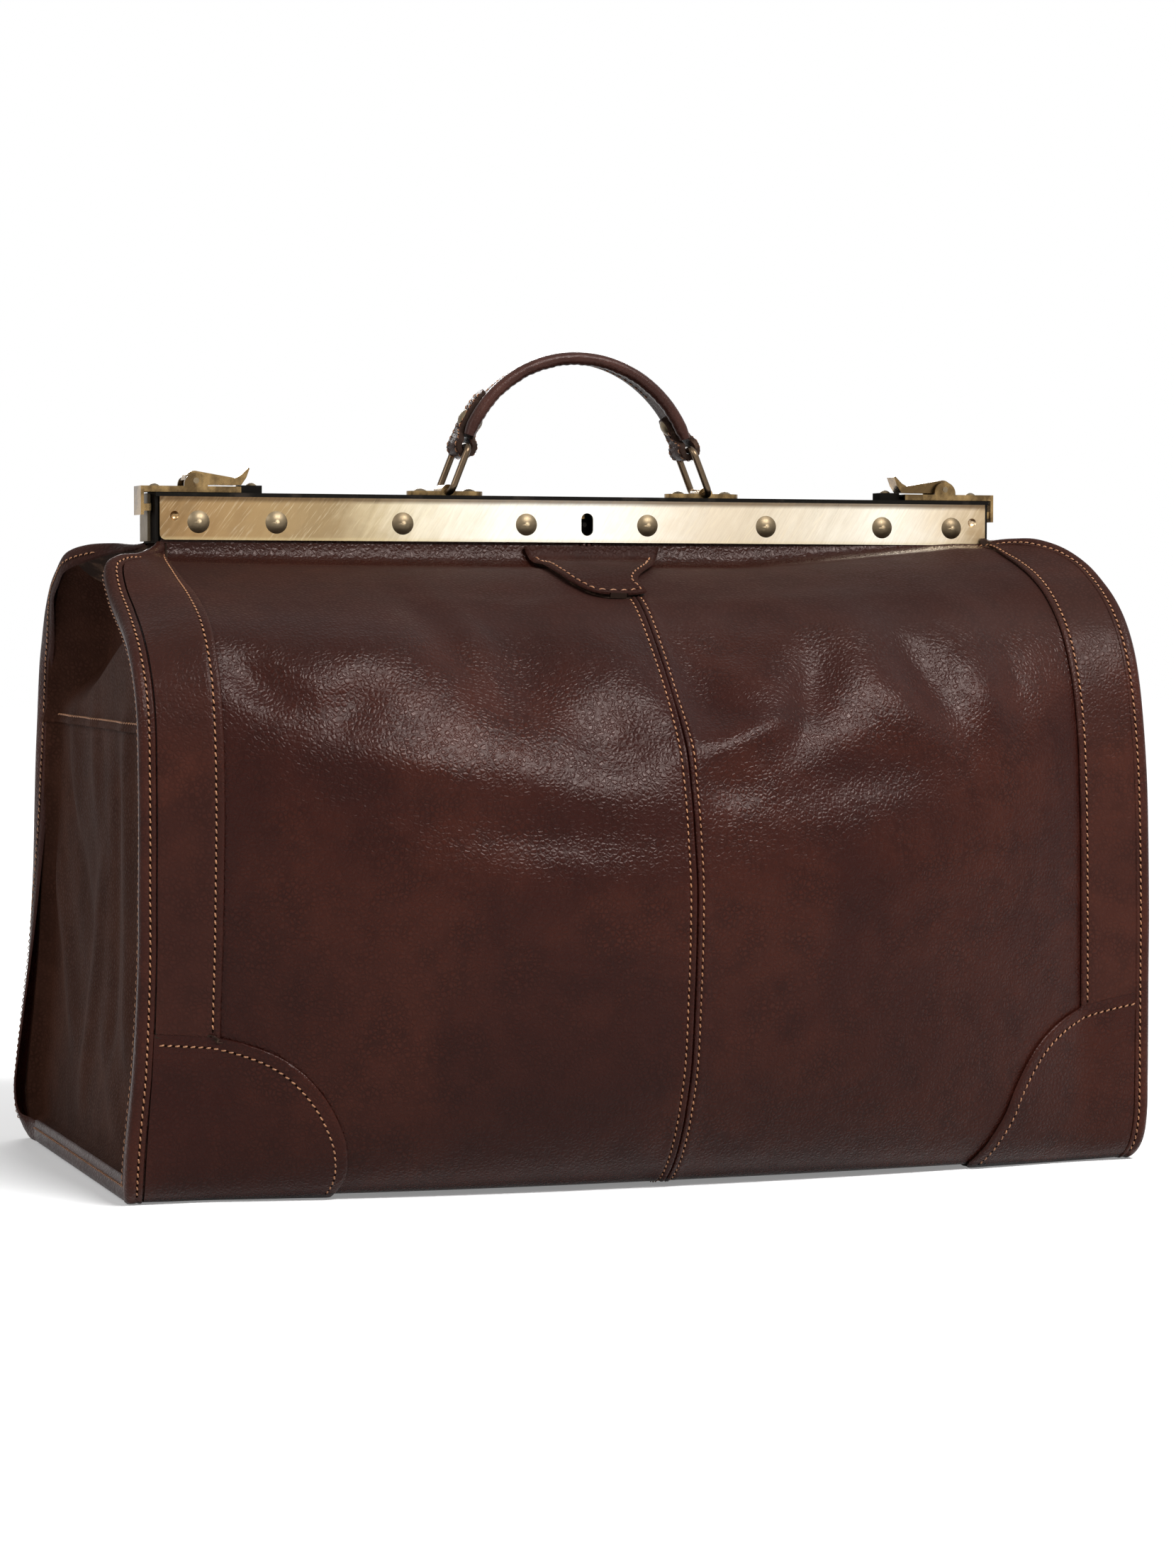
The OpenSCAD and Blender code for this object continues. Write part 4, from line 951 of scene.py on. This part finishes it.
def grip_grid():
    """Rings of the rolled leather and its flange, along the arch."""
    angle = np.radians(np.linspace(21, 159, 150))
    half, back = FLANGE_HALF, FLANGE_BACK
    ring = [(ROLL_Y + ROLL_R * math.cos(turn), ROLL_R * math.sin(turn))
            for turn in np.radians(np.linspace(28, 332, ROLL_POINTS))]
    ring += [(ROLL_Y + 4.2, -half - 0.15), (8, -half), (12, -half), (14.6, -half + 0.15), (16.8, -half),
             (back - 0.2, -half + 0.3), (back, -0.35), (back - 0.4, 0), (back, 0.35), (back - 0.2, half - 0.3),
             (16.8, half), (14.6, half - 0.15), (12, half), (8, half), (ROLL_Y + 4.2, half + 0.15)]
    behind, high = np.array(ring).T
    crease = 0.09 * np.sin(angle * 63 / 2.1) * np.sin(angle * 11 + 0.7) + 0.08 * np.sin(angle * 97)
    ends = 1 - 0.18 * (1 - ease(np.minimum(angle - angle[0], angle[-1] - angle), 0, 0.10))
    roll = np.exp(-((behind - ROLL_Y) / 5.5) ** 2) * (1 - 0.7 * np.sign(high) * (np.abs(high) > 1.6))
    out = high * ends[:, None] + crease[:, None] * roll
    y = behind + 0.25 * np.sin(angle * 9)[:, None] * (behind > 8)
    return on_arch(angle[:, None], ARCH_R + out, y)


def grip_part(place):
    """The finish at a place round the grip: 1 on the flange's edge, 2 on the flange."""
    return 1 if 27 <= place < 30 else 2 if place >= ROLL_POINTS else 0


grid = grip_grid()
count, around = grid.shape[:2]
which = [grip_part(place) for place in range(around)] * (count - 1) + [1, 1]
grip = make_piece("handle_roll", grid.reshape(-1, 3), tube_faces(grid, False, True),
                  [HANDLE_LEATHER, RAW_EDGE, STRAP_LEATHER], which, 55)
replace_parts(grip, "handle_grip")
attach(grip, "handle")
angle = np.radians(np.linspace(45, 135, 300))
outward = np.stack([np.cos(angle), np.zeros(300), np.sin(angle)], -1)
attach(sew("handle_stitches", [(on_arch(angle, ARCH_R + way * 1.3, 14.6), outward * way) for way in (1, -1)]),
        "handle")

PLY_APART = 3.2
LOOP_AT, LOOP_R = 15.7, 4.25
STRAP_BACK, STRAP_HALF = 15.0, 1.5
STRAP_RING = [(0.0, -1.15), (0.02, -1.4), (0.5, -1.5), (0.98, -1.4), (1.0, -1.15), (1.0, 1.15), (0.98, 1.4),
              (0.5, 1.5), (0.02, 1.4), (0.0, 1.15)]


def polar(radius, degrees):
    """Points at a radius from the middle of the arch."""
    return radius * np.stack([np.cos(np.radians(degrees)), np.sin(np.radians(degrees))], -1)


def strap_line():
    """The strap's middle line: down one ply, round the ring, and up the other ply."""
    ring = polar(ARCH_R, LOOP_AT) + polar(LOOP_R, np.linspace(35, -215, 22))
    return np.concatenate([polar(ARCH_R + PLY_APART, np.linspace(44, 22, 14)), ring,
                           polar(ARCH_R - PLY_APART, np.linspace(22, 34, 8))])


def strap(name, sign):
    """A strap of two plies, with a row of stitches along each edge."""
    line = strap_line()
    fine = np.linspace(0, run_of(line)[-1], 90)
    line = along_run(fine, run_of(line), line)
    for _ in range(4):
        line[1:-1] = line[1:-1] * 0.5 + (line[:-2] + line[2:]) * 0.25
    ahead = unit(np.gradient(line, axis=0))
    across = np.stack([ahead[:, 1], -ahead[:, 0]], -1)
    from_end = np.minimum(fine, fine[-1] - fine)
    angle = np.degrees(np.arctan2(line[:, 1], line[:, 0]))
    narrow = 4.6 * (1 - np.sqrt(np.clip(1 - (1 - np.clip(from_end / 6.0, 0, 1)) ** 2, 0, 1)))
    front, back = -3.0 + 7.6 * ease(angle, 17.5, 23.5) + narrow, STRAP_BACK - narrow

    def at(high, y):
        """The strap's points at a height over its middle line."""
        flat = line + across * high
        return np.stack([sign * flat[:, 0], y, ARCH_Z + flat[:, 1]], -1)

    grid = np.stack([at(high, front + (back - front) * share) for share, high in STRAP_RING], 1)
    count, around = grid.shape[:2]
    which = [1 if place in (4, 9) else 0 for place in range(around)] * (count - 1) + [1, 1]
    piece = make_piece(name, grid.reshape(-1, 3), tube_faces(grid, sign < 0, sign > 0), [STRAP_LEATHER, RAW_EDGE],
                       which, 50)
    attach(piece, "handle")
    keep = from_end > 2.5
    out = np.stack([-sign * across[:, 0], np.zeros(len(line)), -across[:, 1]], -1)[keep]
    rows = [(at(-STRAP_HALF, edge)[keep], out) for edge in (front + 1.9, back - 1.9)]
    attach(sew(name + "_stitches", rows), "handle")
    return piece


for hand, sign in HANDS.items():
    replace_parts(strap(f"strap_leather_{hand}", sign), f"handle_strap_{hand}")
print("handle done")

# %% [markdown]
# The metal pieces keep their CAD shapes. The frame's plates are antique brass: brushed on
# the slant and warm, with a painted reflection in their colour that is bright over the middle
# and browner towards the ends, and painted shade along their top under the bar's lip. The
# latches are brass under a dark patina, rivets and rings are bronze, and the bars and the lock
# are black steel.

# %% Metal finishes
PLATE_FOOT, PLATE_TOP = (corner[2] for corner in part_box("front_plate"))
PLATE_HALF = 0.225
# The plate's tones from left to right: a painted reflection, brown at the ends and near white over the middle
PLATE_REFLECTION_TONES = [(0.0, (0.21, 0.125, 0.055)), (0.05, (0.30, 0.185, 0.083)), (0.13, (0.35, 0.235, 0.112)),
               (0.19, (0.31, 0.22, 0.115)), (0.25, (0.53, 0.43, 0.27)), (0.31, (0.74, 0.66, 0.50)),
               (0.40, (0.93, 0.89, 0.78)), (0.50, (0.95, 0.93, 0.86)), (0.56, (0.92, 0.86, 0.74)),
               (0.64, (0.72, 0.62, 0.48)), (0.70, (0.66, 0.56, 0.42)), (0.78, (0.74, 0.66, 0.53)),
               (0.88, (0.90, 0.84, 0.72)), (0.95, (0.72, 0.60, 0.44)), (1.0, (0.42, 0.30, 0.17))]


def brushed_metal(name, bright, dark, rough, slant, patina=(0.42, 0.72), cloud=9.0):
    """Metal with fine slanted scratches and slow clouds of patina."""
    bench = Bench(name)
    lines = bench.lines(900.0, 60.0, slant)
    clouds = bench.between(bench.noise(cloud, 4.0, 0.6, at=bench.stretched((1.6, 1.0, 1.0))), *patina)
    spots = bench.between(bench.noise(160.0, 3.0, 0.6), 0.60, 0.74)
    tone = bench.mix(clouds * 0.75 + spots * 0.20 + (lines - 0.5) * 0.35, bright, dark)
    return bench.done(Base_Color=tone, Metallic=1.0, Roughness=rough + (lines - 0.5) * 0.22 + spots * 0.10,
                      Normal=bench.bump(lines, 0.00003, 0.6))


def plate_brass():
    """Brushed brass with a painted reflection, bright over the middle and brown towards the ends, and painted shade
    along the top edge.
    """
    bench = Bench("antique_brass_plate")
    lines = bench.lines(1500.0, 110.0, 32)
    streaks = bench.lines(190.0, 26.0, 28, rough=0.55)
    scratches = bench.lines(1300.0, 95.0, 38, 2.0, 0.5)
    clouds = bench.noise(26.0, 4.0, 0.6, at=bench.stretched((1.0, 1.0, 2.2)), warp=0.5)
    across = bench.coordinate("X") + (clouds - 0.5) * 0.035 + (streaks - 0.5) * 0.030
    place = bench.node("MapRange", {}, {"Value": across, "From Min": -PLATE_HALF, "From Max": PLATE_HALF})
    # worn carries the painted reflection across the plate, and then the layers below
    worn = bench.node("ValToRGB", {"stops": PLATE_REFLECTION_TONES}, {0: place})
    height = bench.coordinate("Z") + (clouds - 0.5) * 0.0012
    # Painted shade: a dark band along the plate's top, under the bar's lip
    edge = bench.between(height, PLATE_TOP - 0.0034, PLATE_TOP - 0.0008)
    foot = bench.between(height, PLATE_FOOT + 0.0004, PLATE_FOOT + 0.0022, 1.0, 0.0)
    dull = bench.between(bench.noise(34.0, 3.0, 0.5, at=bench.stretched((1.0, 1.0, 1.4))), 0.50, 0.68)
    # Each layer: where it shows, and its tone. The first darkens the left part in clouds, more of the painted
    # reflection; the edge layer is painted shade along the top under the bar's lip.
    for share, tone in ((dull * bench.between(bench.coordinate("X"), -0.06, -0.14) * 0.45, (0.26, 0.185, 0.10)),
                        (bench.between(scratches, 0.56, 0.72) * 0.20, (0.92, 0.80, 0.56)),
                        (foot * 0.35, (0.62, 0.50, 0.27)),
                        (edge * 0.85, (0.085, 0.048, 0.024)),
                        (bench.between(lines, 0.30, 0.75, 0.0, 0.22), (0.30, 0.20, 0.10))):
        worn = bench.mix(share, worn, tone)
    return bench.done(Base_Color=worn, Metallic=1.0, Roughness=0.33 + (lines - 0.5) * 0.20 + (streaks - 0.5) * 0.12,
                      Normal=bench.bump(lines, 0.00003, 0.7))


def black_steel():
    """Blackened steel with faint worn clouds."""
    bench = Bench("black_steel")
    worn = bench.between(bench.noise(70.0, 4.0, 0.6), 0.52, 0.70)
    tone = bench.mix(worn, (0.009, 0.008, 0.007), (0.021, 0.017, 0.014))
    return bench.done(Base_Color=tone, Metallic=0.9, Roughness=0.45 + (worn - 0.5) * 0.1, Specular_IOR_Level=0.1,
                      Specular_Tint=(0.30, 0.27, 0.24))


LATCH_BRASS = brushed_metal("latch_brass", (0.34, 0.222, 0.096), (0.045, 0.026, 0.013), 0.25, 50, (0.34, 0.60), 62.0)
BRONZE = brushed_metal("bronze", (0.158, 0.121, 0.075), (0.076, 0.054, 0.032), 0.46, 20)
RING_BRONZE = brushed_metal("ring_bronze", (0.115, 0.080, 0.050), (0.030, 0.020, 0.013), 0.34, 15)
FINISHES = [
    (plate_brass(), "front_plate back_plate"),
    (black_steel(), "front_bar back_bar lock_case lock_keeper latch_base_left latch_base_right"),
    (LATCH_BRASS, "front_arms back_arms lock_bolt latch_hook_left latch_hook_right latch_lever_left"
                  " latch_lever_right ring_plate_left ring_plate_right"),
    (BRONZE, "front_rivets back_rivets end_caps hinge_pins latch_rivets latch_pin_left latch_pin_right"
             " ring_plate_rivets handle_rivets"),
    (RING_BRONZE, "ring_left ring_right"), (CORD, "handle_core"), (BOARD, "base_board")]
FINISH_OF = {node: finish for finish, nodes in FINISHES for node in nodes.split()}
# How wide the edges are rounded, in millimetres: plates and board more, and round wire not at all
EDGES = {"ring_left": 0, "ring_right": 0, "handle_core": 0, "base_board": 0.5, "front_plate": 0.35,
         "back_plate": 0.35}


def round_edges(part, width):
    """A small bevel that catches the light along the edges of a metal part."""
    bevel = part.modifiers.new("soft_edges", "BEVEL")
    bevel.width = width * MM
    bevel.segments = 2
    bevel.limit_method = "ANGLE"
    bevel.angle_limit = math.radians(35)


for node, finish in FINISH_OF.items():
    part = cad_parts[node]
    width = EDGES.get(node, 0.3)
    if width:
        round_edges(part, width)
    for place in part.material_slots:
        place.material = finish
print("finishes on", len(FINISH_OF), "CAD parts, and", len(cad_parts) - len(FINISH_OF), "are replaced")

# %% [markdown]
# The studio is plain: a pale floor, a white surround and four soft lamps above, at a level
# where a colour comes out about as it is written. The long key lamp gives the leather its
# long soft highlights. The surround is white where the camera, or a mirror, looks at it.

# %% Lamps
LAMPS_LOOK_AT = Vector((0, 0, 0.15))
# Each lamp: its place, its size and its power
LAMPS = {"key_softbox": ((0.46, -1.30, 1.60), (1.20, 0.20), 62),
         "left_softbox": ((-1.50, -0.70, 1.20), (0.5, 0.5), 10),
         "rear_softbox": ((0.40, 2.10, 1.00), (1.2, 0.5), 40),
         "right_softbox": ((1.50, -0.80, 1.25), (0.5, 0.5), 1.5)}
for name, (place, size, power) in LAMPS.items():
    light = bpy.data.lights.new(name, "AREA")
    light.shape = "RECTANGLE"
    light.size, light.size_y = size
    light.energy = power
    stand(bpy.data.objects.new(name, light), place, LAMPS_LOOK_AT - Vector(place))
print(len(LAMPS), "lamps")

# %% Surround and floor
FLOOR_HALF = 9000


def seen_white(bench):
    """1 where the camera, a mirror or glass looks, and 0 for the light that falls on things."""
    camera, glossy, clear = (bench.node("LightPath", {}, {}, ray) for ray in
                             ("Is Camera Ray", "Is Glossy Ray", "Is Transmission Ray"))
    return bench.node("Math", {"operation": "ADD", "use_clamp": True}, {0: camera + glossy, 1: clear})


class Surround(Bench):
    """The world's nodes, made with the same helpers."""

    def __init__(self, name):
        world = bpy.data.worlds.new(name)
        bpy.context.scene.world = world
        world.use_nodes = True
        self.tree = world.node_tree


surround = Surround("surround")
sky = surround.tree.nodes["Background"].inputs
plug(surround.tree, sky["Color"], (1.0, 1.0, 1.0))
plug(surround.tree, sky["Strength"], 0.18 + seen_white(surround) * 0.82)

floor_bench = Bench("pale_floor")
far = floor_bench.node("VectorMath", {"operation": "LENGTH"}, {0: floor_bench.place()}, "Value")
glow = seen_white(floor_bench) * floor_bench.between(far, 0.5, 2.2, 0.24, 1.0)
floor_finish = floor_bench.done(Base_Color=(0.82, 0.82, 0.82), Roughness=0.95, Specular_IOR_Level=0.0,
                                Emission_Color=floor_bench.mix(glow, (0.0, 0.0, 0.0), (1.0, 1.0, 1.0)),
                                Emission_Strength=1.0)
corners = [(x * FLOOR_HALF, y * FLOOR_HALF, 0) for x, y in ((-1, -1), (1, -1), (1, 1), (-1, 1))]
make_piece("floor", corners, [(0, 1, 2, 3)], [floor_finish])
print("surround and floor ready")
